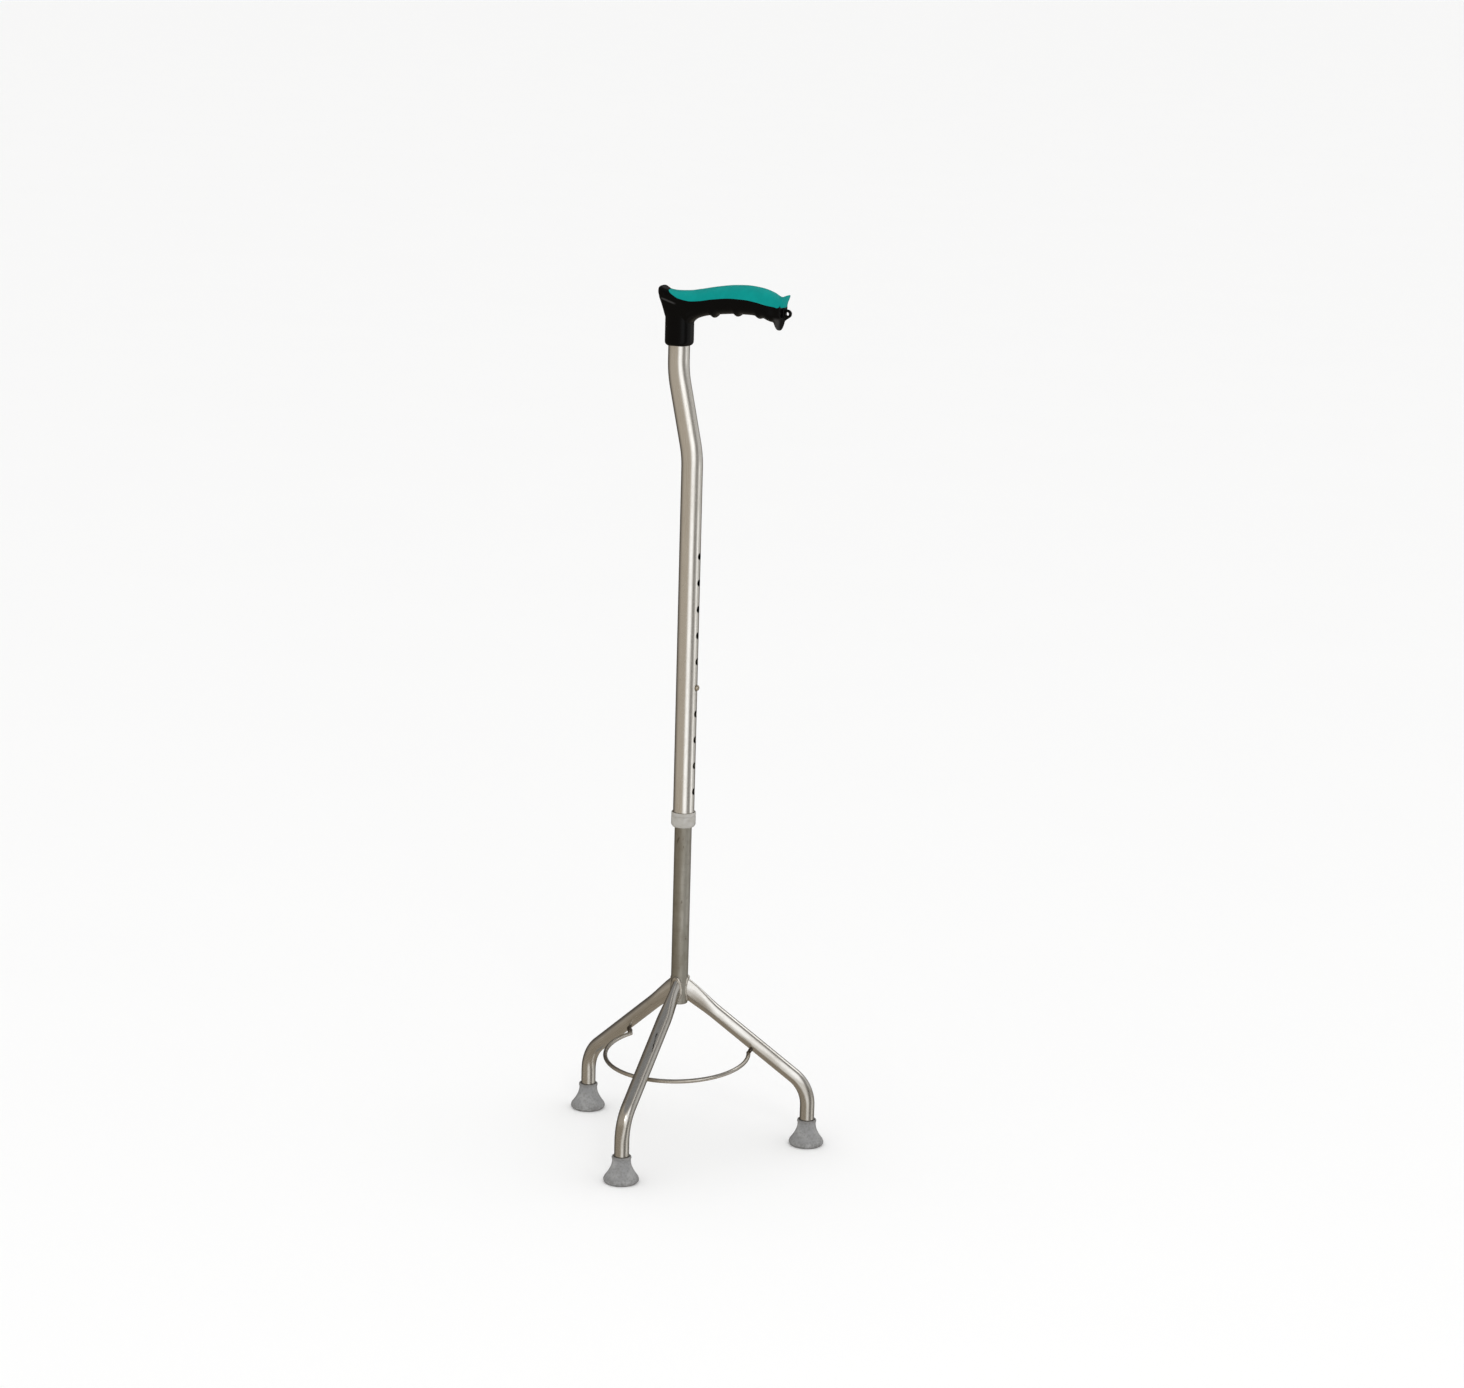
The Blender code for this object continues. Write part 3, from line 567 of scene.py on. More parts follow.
def use_group(graph: Graph, name: str, vector: Socket, **values: float) -> Any:
    """Place a shared node group, built at its first use.

    Args:
        graph: Graph in which it is placed.
        name: Name of the group.
        vector: Coordinates of its pattern.
        values: Values of its number inputs.

    Returns:
        The group's outputs.
    """
    fill, inputs, outputs = GROUPS[name]
    tree = bpy.data.node_groups.get(name)
    if tree is None:
        tree = bpy.data.node_groups.new(name, "ShaderNodeTree")
        tree.interface.new_socket(name="Vector", in_out="INPUT", socket_type="NodeSocketVector")
        for label, default in inputs.items():
            socket = tree.interface.new_socket(name=label, in_out="INPUT", socket_type="NodeSocketFloat")
            socket.default_value = default
        for label in outputs:
            tree.interface.new_socket(name=label, in_out="OUTPUT", socket_type="NodeSocketFloat")
        inside = Graph(tree)
        fill(inside, inside.add("NodeGroupInput").outputs, inside.add("NodeGroupOutput").inputs)
    return graph.add("ShaderNodeGroup", {"Vector": vector, **values}, node_tree=tree).outputs


@dataclass(frozen=True)
class Finish:
    """What every finish has: its name and the record's slot that it dresses."""

    name: str
    slot: str

    def paint(self, graph: Graph, shader: bpy.types.Node) -> Surface:
        """Return the colour, the roughness, the relief's height, its depth and its strength."""
        raise NotImplementedError

    def build(self) -> bpy.types.Material:
        """Return the finish as a material, made at its first use."""
        made = bpy.data.materials.get(self.name)
        if made is None:
            made = bpy.data.materials.new(self.name)
            made.use_nodes = True
            graph = Graph(made.node_tree)
            shader = made.node_tree.nodes["Principled BSDF"]
            tone, rough, height, depth, strength = self.paint(graph, shader)
            graph.link(tone, shader.inputs["Base Color"])
            graph.link(rough, shader.inputs["Roughness"])
            relief = graph.add("ShaderNodeBump", {"Height": height, "Distance": depth, "Strength": strength})
            graph.link(relief.outputs["Normal"], shader.inputs["Normal"])
        return made


def set_shader(shader: bpy.types.Node, **values: Any) -> None:
    """Set a shader's plain inputs, each named with underscores for its spaces."""
    for name, value in values.items():
        shader.inputs[name.replace("_", " ")].default_value = value


@dataclass(frozen=True)
class DrawnMetal(Finish):
    """Bare or plated tube metal with lines along its length, stains and scratches.

    A scar is its middle along the tube, its half length, its turn about the tube and its half width.
    """

    colour: Triple = (0.8, 0.78, 0.75)
    stain: Triple = (0.5, 0.45, 0.38)
    roughness: float = 0.2
    stains: float = 0.4
    lines: float = 0.25
    marks: float = 0.3
    rubs: float = 0.0
    # Painted shade: how strongly the underside is darkened.
    underside_shade: float = 0.0
    # Radius inside which the bore gets painted shade; 0 for none.
    bore: float = 0.0
    centre: Triple = NOWHERE
    turn: Triple = NOWHERE
    scar: Optional[tuple[float, float, float, float]] = None
    straight_top: float = 0.66

    def _bore_shade_mask(self, graph: Graph) -> Socket:
        """Return 1 inside the straight part of the tube's wall, where it is dull and dark with painted shade."""
        parts = graph.split(graph.place(self.centre, self.turn))
        squares = [graph.math("POWER", parts[name], 2.0) for name in "XY"]
        away = graph.math("SQRT", graph.math("ADD", *squares))
        straight = graph.math("LESS_THAN", parts["Z"], self.straight_top)
        return graph.times(graph.fade(away, self.bore - 0.5 * MM, self.bore), straight)

    def _scar_mask(self, graph: Graph) -> Socket:
        """Return the mask of the scar, one ragged scratch along the tube."""
        middle, half_length, side, half_width = self.scar
        local = graph.place(self.centre, self.turn)
        parts = graph.split(local)
        wobble = graph.times(graph.math("SUBTRACT", graph.noise(local, 400.0), 0.5), 1.3 * MM)
        angle = graph.math("SUBTRACT", graph.math("ARCTAN2", parts["Y"], parts["X"]), side)
        slant = graph.times(graph.math("SUBTRACT", parts["Z"], middle), 0.10)
        across = graph.math("ADD", graph.times(angle, LegSet.radius), graph.math("ADD", wobble, slant))
        thin = graph.fade(graph.math("ABSOLUTE", across), 0.3 * half_width, half_width)
        ends = graph.fade(graph.away(parts["Z"], middle), 0.75 * half_length, half_length)
        broken = graph.step(graph.noise(local, 1300.0, 4.0, 0.7), 0.34, 0.54)
        return graph.times(graph.times(thin, ends), broken)

    def paint(self, graph: Graph, shader: bpy.types.Node) -> Surface:
        """Lay stains, lines and scratches, and the rubs, painted shade on the underside, painted shade in the
        bore and scar that are asked for.
        """
        set_shader(shader, Metallic=1.0)
        stretched = graph.place(self.centre, self.turn, (1.0, 1.0, 0.035))
        level = graph.place(self.centre, self.turn, (1.0, 1.0, 0.45))
        scratches = use_group(graph, "drawn_scratches", stretched, Scale=1500.0, Threshold=0.62)
        stains = use_group(graph, "soft_blotches", level, Scale=42.0)
        wear = use_group(graph, "edge_wear_and_dust", level, Edges=0.4, Dust=0.25)
        dull = graph.times(graph.times_plus(stains["Small"], 0.45, stains["Coarse"]), self.stains)
        tone = graph.blend(dull, self.colour, self.stain)
        tone = graph.tint(tone, scratches["Lines"], self.lines, [0.55 * part for part in self.colour])
        tone = graph.tint(tone, scratches["Marks"], self.marks, [0.3 * part for part in self.stain])
        tone = graph.blend(wear["Dust Mask"], tone, (0.42, 0.39, 0.35))
        if self.rubs:
            banded = graph.place(self.centre, self.turn, (0.12, 0.12, 1.0))
            rub = graph.step(graph.noise(banded, 420.0, 5.0, 0.75), 0.5, 0.72)
            speck = graph.step(graph.noise(level, 330.0, 1.0), 0.70, 0.76)
            tone = graph.tint(tone, rub, self.rubs, (0.30, 0.28, 0.24))
            tone = graph.tint(tone, speck, self.rubs, (0.08, 0.06, 0.045))
        # Painted shade: the underside is darkened to a brown grey, with a patchy edge from the stains.
        if self.underside_shade:
            under = graph.split(graph.place(self.centre, self.turn))["X"]
            patchy = graph.times_plus(graph.math("SUBTRACT", stains["Coarse"], 0.5), 1.2 * MM, under)
            tone = graph.tint(tone, graph.step(patchy, -2.4 * MM, 0.3 * MM), self.underside_shade, (0.30, 0.265, 0.205))
        # Painted shade: the inside of the bore is painted near black.
        if self.bore:
            tone = graph.blend(self._bore_shade_mask(graph), tone, (0.035, 0.03, 0.026))
        rough = graph.times_plus(dull, 0.22, self.roughness)
        rough = graph.times_plus(scratches["Lines"], 0.10, rough)
        rough = graph.times_plus(scratches["Marks"], 0.2, rough)
        if self.scar:
            mask = self._scar_mask(graph)
            tone = graph.blend(mask, tone, (0.02, 0.018, 0.016))
            rough = graph.times_plus(mask, 0.4, rough)
        relief = graph.times_plus(scratches["Marks"], -1.5, scratches["Lines"])
        return tone, rough, relief, 0.006 * MM, 0.5


@dataclass(frozen=True)
class MouldedPlastic(Finish):
    """Hard moulded plastic with a fine grain, a parting line, worn edges and a little dust."""

    colour: Triple = (0.02, 0.02, 0.02)
    worn: Triple = (0.06, 0.06, 0.06)
    roughness: float = 0.5
    specular: float = 0.3
    parting_y: Optional[float] = None
    # Painted highlights: strokes laid a lighter grey where light would catch a ridge.
    rubbed_and_highlights: tuple[tuple[float, float, float, float, float], ...] = ()
    dust: float = 0.1
    edges: float = 0.5

    def _highlight_stroke_mask(self, graph: Graph, vector: Socket, stroke: Sequence[float]) -> Socket:
        """Return the soft mask of one painted highlight stroke seen from the side.

        Args:
            graph: The material's graph.
            vector: Object coordinates.
            stroke: X and Z of its start and end and its half width, all in millimetres.

        Returns:
            The mask socket.
        """
        start, end = Vector(stroke[:2]) * MM, Vector(stroke[2:4]) * MM
        along = (end - start).normalized()
        middle = (start + end) / 2.0
        half_length = (end - start).length / 2.0 + 1.5 * MM
        half_width = stroke[4] * MM
        parts = graph.split(vector)
        x = graph.math("SUBTRACT", parts["X"], middle.x)
        z = graph.math("SUBTRACT", parts["Z"], middle.y)
        ahead = graph.times_plus(z, along.y, graph.times(x, along.x))
        aside = graph.times_plus(z, -along.x, graph.times(x, along.y))
        thin = graph.fade(graph.math("ABSOLUTE", aside), 0.1 * half_width, half_width)
        return graph.times(thin, graph.fade(graph.math("ABSOLUTE", ahead), 0.45 * half_length, half_length))

    def paint(self, graph: Graph, shader: bpy.types.Node) -> Surface:
        """Lay faint patches, worn edges, painted highlight strokes, dust and the parting line."""
        set_shader(shader, Specular_IOR_Level=self.specular)
        plain = graph.place()
        height = use_group(graph, "moulded_grain", plain, Scale=1700.0)["Height"]
        stains = use_group(graph, "soft_blotches", plain, Scale=55.0)
        wear = use_group(graph, "edge_wear_and_dust", plain, Edges=self.edges, Dust=self.dust)
        tone = graph.tint(self.colour, stains["Coarse"], 0.5, [1.35 * part for part in self.colour])
        tone = graph.blend(wear["Edge Mask"], tone, self.worn)
        for stroke in self.rubbed_and_highlights:
            # Painted highlight: each stroke is laid a lighter grey.
            tone = graph.blend(self._highlight_stroke_mask(graph, plain, stroke), tone, (0.04, 0.038, 0.037))
        tone = graph.blend(wear["Dust Mask"], tone, (0.30, 0.28, 0.26))
        rough = graph.times_plus(stains["Small"], 0.08, self.roughness)
        rough = graph.times_plus(wear["Dust Mask"], 0.3, rough)
        if self.parting_y is not None:
            off = graph.away(graph.split(plain)["Y"], self.parting_y)
            height = graph.times_plus(graph.fade(off, 0.05 * MM, 0.22 * MM), -3.0, height)
        return tone, rough, height, 0.02 * MM, 0.7


@dataclass(frozen=True)
class SoftTouch(Finish):
    """Soft-touch rubber moulded over the grip: satin, finely pebbled, paler where a palm has worn it."""

    colour: Triple = (0.0005, 0.268, 0.242)
    # Paler tone of patches worn by a palm.
    rubbed_and_highlights: Triple = (0.001, 0.33, 0.295)
    shade: Triple = (0.0005, 0.19, 0.172)

    def paint(self, graph: Graph, shader: bpy.types.Node) -> Surface:
        """Lay rubbed and shaded patches, worn edges and a trace of dust."""
        set_shader(shader, Specular_IOR_Level=0.07)
        plain = graph.place()
        grain = use_group(graph, "moulded_grain", plain, Scale=1900.0)
        patches = use_group(graph, "soft_blotches", plain, Scale=48.0)
        wear = use_group(graph, "edge_wear_and_dust", plain, Edges=0.3, Dust=0.02)
        tone = graph.tint(self.colour, patches["Coarse"], 0.6, self.rubbed_and_highlights)
        tone = graph.tint(tone, patches["Small"], 0.14, self.shade)
        tone = graph.blend(wear["Edge Mask"], tone, (0.03, 0.45, 0.40))
        tone = graph.blend(wear["Dust Mask"], tone, (0.25, 0.42, 0.40))
        return tone, graph.times_plus(patches["Coarse"], 0.10, 0.46), grain["Height"], 0.03 * MM, 0.7


@dataclass(frozen=True)
class TipRubber(Finish):
    """Grey rubber with a bloom, scuffs round its foot and dirt near the floor."""

    colour: Triple = (0.26, 0.26, 0.26)
    bloom: Triple = (0.36, 0.36, 0.355)
    dirt: Triple = (0.12, 0.115, 0.105)

    def paint(self, graph: Graph, shader: bpy.types.Node) -> Surface:
        """Lay bloom, dirt, scuffs low down, painted shade round the mouth and worn edges."""
        set_shader(shader, Specular_IOR_Level=0.45)
        plain = graph.place()
        grain = use_group(graph, "moulded_grain", plain, Scale=1400.0)
        patches = use_group(graph, "soft_blotches", plain, Scale=75.0)
        wear = use_group(graph, "edge_wear_and_dust", plain, Edges=0.6, Dust=0.3)
        height = graph.split(plain)["Z"]
        ragged = graph.step(graph.noise(plain, 320.0, 5.0, 0.7), 0.42, 0.62)
        scuff = graph.times(graph.fade(height, 1.5 * MM, 9.0 * MM), ragged)
        tone = graph.tint(self.colour, patches["Coarse"], 0.7, self.bloom)
        tone = graph.tint(tone, patches["Small"], 0.35, self.dirt)
        tone = graph.tint(tone, scuff, 0.55, self.dirt)
        # Painted shade: the top of the tip round its mouth is darkened, where the tube shades it.
        tone = graph.tint(tone, graph.step(height, 22.4 * MM, 25.4 * MM), 0.35, (0.10, 0.085, 0.07))
        tone = graph.blend(wear["Edge Mask"], tone, self.bloom)
        rough = graph.times_plus(scuff, 0.25, graph.times_plus(patches["Small"], 0.12, 0.40))
        return tone, rough, grain["Height"], 0.05 * MM, 0.6


@dataclass(frozen=True)
class MilkyPlastic(Finish):
    """Milky, half-clear plastic of the collar, yellowed a little, with hairline scratches."""

    colour: Triple = (0.44, 0.425, 0.395)
    aged: Triple = (0.33, 0.31, 0.265)

    def paint(self, graph: Graph, shader: bpy.types.Node) -> Surface:
        """Lay aged patches, scratches and dust under a thin gloss coat."""
        set_shader(shader, Coat_Weight=0.6, Coat_Roughness=0.16, Subsurface_Weight=0.12)
        set_shader(shader, Subsurface_Radius=(1.0, 0.9, 0.75), Subsurface_Scale=1.2 * MM)
        plain = graph.place()
        stretched = graph.place(stretch=(1.0, 1.0, 0.08))
        scratches = use_group(graph, "drawn_scratches", stretched, Scale=1300.0, Threshold=0.64)
        patches = use_group(graph, "soft_blotches", plain, Scale=110.0)
        wear = use_group(graph, "edge_wear_and_dust", plain, Edges=0.5, Dust=0.3)
        tone = graph.tint(self.colour, patches["Coarse"], 0.55, self.aged)
        tone = graph.tint(tone, scratches["Marks"], 0.35, (0.62, 0.60, 0.56))
        tone = graph.blend(wear["Dust Mask"], tone, (0.33, 0.31, 0.28))
        return tone, graph.times_plus(scratches["Lines"], 0.16, 0.28), scratches["Lines"], 0.01 * MM, 0.5


@dataclass(frozen=True)
class WeldMetal(Finish):
    """Weld bead: rippled, tarnished, burnt dark in patches."""

    colour: Triple = (0.42, 0.39, 0.34)
    burnt: Triple = (0.05, 0.042, 0.035)
    burn: float = 0.5

    def paint(self, graph: Graph, shader: bpy.types.Node) -> Surface:
        """Lay burnt and rusty patches and bright edges over spatter."""
        set_shader(shader, Metallic=1.0)
        plain = graph.place()
        patches = use_group(graph, "soft_blotches", plain, Scale=160.0)
        wear = use_group(graph, "edge_wear_and_dust", plain, Edges=0.8, Dust=0.15)
        charred = graph.times_plus(patches["Coarse"], 0.5, self.burn - 0.2)
        tone = graph.blend(charred, self.colour, self.burnt)
        tone = graph.tint(tone, patches["Small"], 0.35, (0.16, 0.10, 0.055))
        tone = graph.blend(wear["Edge Mask"], tone, (0.5, 0.48, 0.44))
        spatter = graph.noise(plain, 1800.0, 4.0, 0.65)
        return tone, graph.times_plus(patches["Small"], 0.25, 0.2), spatter, 0.12 * MM, 0.6


def seat_piece(piece: bpy.types.Object, body: Body, finish: Finish, *stands_for: str) -> None:
    """Dress a finished piece, and tie it to its body and the CAD nodes that it stands for.

    Args:
        piece: Finished object at the origin.
        body: Body that it moves with.
        finish: Its finish, which names its slot of the record.
        stands_for: CAD nodes that it is shown instead of.
    """
    piece.data.materials.clear()
    piece.data.materials.append(finish.build())
    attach(piece, body.value)
    if stands_for:
        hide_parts(*stands_for)
    LOG.info("%s rides on %s with %d faces", piece.name, body.value, len(piece.data.polygons))


def fit_node(name: str, finish: Finish) -> None:
    """Give a CAD node that stays in view a better material."""
    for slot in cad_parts[name].material_slots:
        slot.material = finish.build()
    LOG.info("%s keeps its CAD shape", name)


AXIS_Y = (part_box("lower_tube")[0].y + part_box("lower_tube")[1].y) / 2.0
ON_AXIS = shift(0.0, AXIS_Y, 0.0)


# ---------------------------------------------------------------- legs, tips and ring


@dataclass
class LegSet:
    """Three bent legs, pinched where they are welded to the lower tube."""

    foot_radius: float = 127.8 * MM
    side_angle: float = radians(22.7)
    radius: float = 7.1 * MM
    wall: float = 1.2 * MM
    slope: float = radians(39.0)
    axis_height: float = 161.8 * MM
    knee_radius: float = 38.0 * MM
    pinch_half_width: float = 4.4 * MM
    pinch_half_height: float = 9.0 * MM
    pinch_length: float = 36.0 * MM
    hub_radius: float = 8.55 * MM
    weld_plane: float = 6.9 * MM
    foot_height: float = 7.8 * MM
    overlap: float = 14.0 * MM
    sides: int = 40

    def angles(self) -> dict[str, float]:
        """Turn of each leg about the tube's axis, from +X."""
        return {"front": -pi / 2.0, "right": self.side_angle, "left": pi - self.side_angle}

    def line_height(self, reach: float) -> float:
        """Height of a leg's straight centreline at a distance from the tube's axis."""
        return self.axis_height - tan(self.slope) * reach

    def leg_blank(self) -> bpy.types.Object:
        """Model one leg lying along +X, bend its knee, and tip it to its slope."""
        sections = [(-self.overlap, self.pinch_half_width, self.pinch_half_height)]
        for share in spread(0.0, 1.0, 17):
            half_width = self.pinch_half_width + (self.radius - self.pinch_half_width) * ease(share)
            half_height = self.pinch_half_height + (self.radius - self.pinch_half_height) * ease(share)
            sections.append((share * self.pinch_length, half_width, half_height))
        rings = [
            [Vector((x, wide * sin(turn), high * cos(turn))) for turn in turns(self.sides)]
            for x, wide, high in sections
        ]
        blank = Blank("leg_blank", self.sides)
        blank.place(rings[0])
        for ring in rings[1:]:
            blank.extrude_to(ring)
        turn = pi / 2.0 - self.slope
        tangent = self.knee_radius * tan(turn / 2.0)
        straight = (self.foot_radius - self.hub_radius) / cos(self.slope) - tangent
        blank.extrude((straight - self.pinch_length, 0.0, 0.0))
        blank.spin(turn, (straight, 0.0, -self.knee_radius), (0.0, 1.0, 0.0), 18)
        drop = self.line_height(self.foot_radius) - tangent - self.foot_height
        blank.extrude((drop * cos(turn), 0.0, -drop * sin(turn)))
        piece = blank.done()
        tip = Matrix.Rotation(self.slope, 4, "Y")
        lift = shift(self.hub_radius, 0.0, self.line_height(self.hub_radius))
        move_mesh(piece, lift @ tip)
        take(piece)
        bpy.ops.object.mode_set(mode="EDIT")
        bpy.ops.mesh.select_all(action="SELECT")
        bpy.ops.mesh.bisect(plane_co=(self.weld_plane, 0.0, 0.0), plane_no=(1.0, 0.0, 0.0), clear_inner=True)
        bpy.ops.object.mode_set(mode="OBJECT")
        apply_modifier(piece, "SOLIDIFY", thickness=self.wall, offset=-1.0, use_even_offset=True)
        return smooth(piece)

    def weld_path(self, count: int) -> list[Vector]:
        """Return the line where a leg lying along +X meets the lower tube."""
        path = []
        reach_radius = self.hub_radius - 0.9 * MM
        for turn in turns(count):
            side = (self.pinch_half_width + 0.2 * MM) * sin(turn)
            rise = (self.pinch_half_height + 0.1 * MM) * cos(turn)
            reach = sqrt(reach_radius**2 - side**2)
            path.append(Vector((reach, side, self.line_height(reach) + rise / cos(self.slope))))
        return path

    def weld_blank(self) -> bpy.types.Object:
        """Model the rippled bead between a leg and the lower tube."""
        count = 96
        ripples = 36
        radii = [
            (1.35 + 0.95 * max(cos(turn), 0.0) ** 2) * MM * (1.0 + 0.04 * sin(ripples * turn))
            for turn in turns(count)
        ]
        return swept("hub_weld_blank", self.weld_path(count), radii, 12)

    def finish(self, side: str, turn: float) -> DrawnMetal:
        """Return the plated finish whose lines run down one leg."""
        facing = Matrix.Rotation(turn, 4, "Z") @ Matrix.Rotation(pi / 2.0 + self.slope, 4, "Y")
        scar = (75.5 * MM, 12.0 * MM, 2.75, 1.1 * MM) if side == "front" else None
        # The legs' undersides get painted shade, a darker brown grey.
        return DrawnMetal(
            "leg_metal_" + side, "leg_steel", colour=(0.79, 0.775, 0.745), stain=(0.50, 0.465, 0.405),
            roughness=0.13, lines=0.22, marks=0.4, underside_shade=0.42, centre=(0.0, AXIS_Y, self.axis_height),
            turn=tuple(facing.to_euler()), scar=scar,
        )

    def build(self) -> None:
        """Model one leg and one weld, and set three of each round the lower tube."""
        leg = self.leg_blank()
        weld = self.weld_blank()
        weld_finish = WeldMetal("hub_weld_metal", "leg_steel", colour=(0.66, 0.63, 0.57), burn=0.15)
        for side, turn in self.angles().items():
            place = ON_AXIS @ Matrix.Rotation(turn, 4, "Z")
            piece = move_mesh(copied(leg, "bent_leg_" + side), place)
            seat_piece(piece, Body.BASE, self.finish(side, turn), "leg_" + side)
            bead = move_mesh(copied(weld, "hub_weld_" + side), place)
            seat_piece(bead, Body.BASE, weld_finish)
        for helper in (leg, weld):
            bpy.data.objects.remove(helper, do_unlink=True)


@dataclass
class RubberTips:
    """Bell-shaped rubber tips with a lipped mouth and a ringed sole."""

    height: float = 25.7 * MM
    mouth_radius: float = 9.0 * MM
    sole_radius: float = 17.0 * MM
    floor: float = 6.0 * MM
    bore_radius: float = 7.4 * MM
    sides: int = 72

    def outline(self) -> list[tuple[float, float]]:
        """Return the tip's section, from the middle of its sole round to the floor of its bore."""
        points = [(0.6 * MM, 0.9 * MM), (3.6 * MM, 0.9 * MM), (4.2 * MM, 0.0)]
        for groove in (6.0 * MM, 9.0 * MM, 12.0 * MM):
            points += from_corner(groove, 0.0, ((0.0, 0.0), (0.4, 0.9), (1.2, 0.9), (1.6, 0.0)))
        points.append((15.2 * MM, 0.0))
        corner = 2.6 * MM
        for turn in spread(-75.0, 20.0, 8):
            angle = radians(turn)
            points.append((self.sole_radius - corner + corner * cos(angle), 2.7 * MM + corner * sin(angle)))
        base = 4.4 * MM
        neck = 21.0 * MM
        neck_radius = self.mouth_radius - 0.1 * MM
        for share in spread(0.0, 1.0, 18)[1:]:
            bell = (1.0 - share) ** 1.75
            radius = neck_radius + (self.sole_radius - 0.16 * MM - neck_radius) * bell
            points.append((radius, base + (neck - base) * share))
        lip = ((-0.08, -3.0), (0.28, -2.3), (0.38, -1.6), (0.3, -0.8), (0.0, -0.2), (-0.35, 0.0))
        points += from_corner(self.mouth_radius, self.height, lip)
        points += from_corner(self.bore_radius, self.height, ((0.5, -0.1), (0.0, -0.7)))
        return points + [(self.bore_radius, self.floor), (0.6 * MM, self.floor)]

    def build(self, legs: LegSet) -> None:
        """Turn one tip and set a copy under each leg."""
        blank = turned("tip_blank", self.outline(), self.sides)
        rubber = TipRubber("tip_rubber_grey", "tip_rubber")
        for side, turn in legs.angles().items():
            x = legs.foot_radius * cos(turn)
            y = AXIS_Y + legs.foot_radius * sin(turn)
            place = shift(x, y, 0.0) @ Matrix.Rotation(turn, 4, "Z")
            piece = move_mesh(copied(blank, "rubber_tip_" + side), place)
            seat_piece(piece, Body.BASE, rubber, "tip_" + side)
        bpy.data.objects.remove(blank, do_unlink=True)


@dataclass
class BraceRing:
    """Round-rod ring welded under the legs, open at the back."""

    radius: float = 69.6 * MM
    shift: tuple[float, float] = (2.4 * MM, -7.6 * MM)
    height: float = 91.7 * MM
    tilt: float = radians(4.3)
    opening: tuple[float, float] = (radians(25.0), radians(153.5))
    rod: float = 2.0 * MM
    sides: int = 20

    def centre(self) -> Vector:
        """Return the ring's centre."""
        return Vector((self.shift[0], AXIS_Y + self.shift[1], self.height))

    def point(self, turn: float) -> Vector:
        """Return a point of the rod's centreline."""
        flat = Vector((cos(turn), sin(turn), 0.0)) * self.radius
        return self.centre() + Matrix.Rotation(self.tilt, 3, "X") @ flat

    def ends(self) -> tuple[float, float]:
        """Return the turns at which the rod starts and ends."""
        return self.opening[1], 2.0 * pi + self.opening[0]

    def build_rod(self) -> None:
        """Bend the rod by spinning its round section about the ring's axis."""
        first, last = self.ends()
        blank = Blank("ring_rod", self.sides, self.rod)
        blank.place([
            Vector((self.radius + self.rod * cos(turn), 0.0, self.rod * sin(turn)))
            for turn in turns(self.sides)
        ])
        blank.spin(last - first, (0.0, 0.0, 0.0), (0.0, 0.0, 1.0), 120)
        blank.cap()
        piece = blank.done()
        soften_edges(piece, 0.5 * MM, 3)
        start = Matrix.Rotation(first, 4, "Z")
        move_mesh(piece, Matrix.Translation(self.centre()) @ Matrix.Rotation(self.tilt, 4, "X") @ start)
        smooth(piece)
        steel = DrawnMetal(
            "ring_rod_steel", "rod_steel", colour=(0.66, 0.63, 0.58), stain=(0.33, 0.29, 0.23),
            stains=0.5, lines=0.2,
        )
        seat_piece(piece, Body.BASE, steel, "brace_ring")

    def weld_place(self, legs: LegSet, turn: float) -> tuple[Vector, Vector, Vector]:
        """Find where the rod comes closest to a leg's underside.

        Args:
            legs: The legs.
            turn: The leg's turn about the tube's axis.

        Returns:
            The point on the rod's centreline, the one on the leg's and the rod's direction there.
        """
        first, last = self.ends()
        best: Optional[tuple[float, Vector, Vector, float]] = None
        inset = 1.6 * MM / self.radius
        for angle in spread(first + inset, last - inset, 400):
            rod_point = self.point(angle)
            for reach in spread(40.0 * MM, 90.0 * MM, 120):
                level = (reach * cos(turn), AXIS_Y + reach * sin(turn))
                leg_point = Vector((*level, legs.line_height(reach)))
                distance = (leg_point - rod_point).length
                if best is None or distance < best[0]:
                    best = (distance, rod_point, leg_point, angle)
        along = (self.point(best[3] + 0.01) - self.point(best[3] - 0.01)).normalized()
        return best[1], best[2], along

    def build_weld(self, legs: LegSet, side: str, turn: float) -> None:
        """Model the bead between the rod and one leg."""
        rod_point, leg_point, along = self.weld_place(legs, turn)
        up = (leg_point - rod_point).normalized()
        top = leg_point - up * (legs.radius - 0.9 * MM)
        low = rod_point + up * 0.4 * MM
        clear_bench()
        bpy.ops.mesh.primitive_uv_sphere_add(segments=28, ring_count=18, radius=1.0)
        bead = bpy.context.active_object
        bead.name = "ring_weld_" + side
        bead.data.name = bead.name
        along = (along - up * along.dot(up)).normalized()
        across = up.cross(along)
        half_height = (top - low).length / 2.0 + 0.9 * MM
        axes = Matrix((along * 2.9 * MM, across * 1.9 * MM, up * half_height)).transposed()
        move_mesh(bead, Matrix.Translation((top + low) / 2.0) @ axes.to_4x4())
        lumps = bpy.data.textures.new("weld_lumps_" + side, "CLOUDS")
        lumps.noise_scale = 2.2 * MM
        apply_modifier(bead, "DISPLACE", texture=lumps, strength=0.9 * MM, texture_coords="LOCAL")
        smooth(bead, 60.0)
        seat_piece(bead, Body.BASE, WeldMetal("ring_weld_metal", "rod_steel", burn=0.95))

    def build(self, legs: LegSet) -> None:
        """Build the rod and its three welds."""
        self.build_rod()
        for side, turn in legs.angles().items():
            self.build_weld(legs, side, turn)


# ---------------------------------------------------------------- tubes and height lock


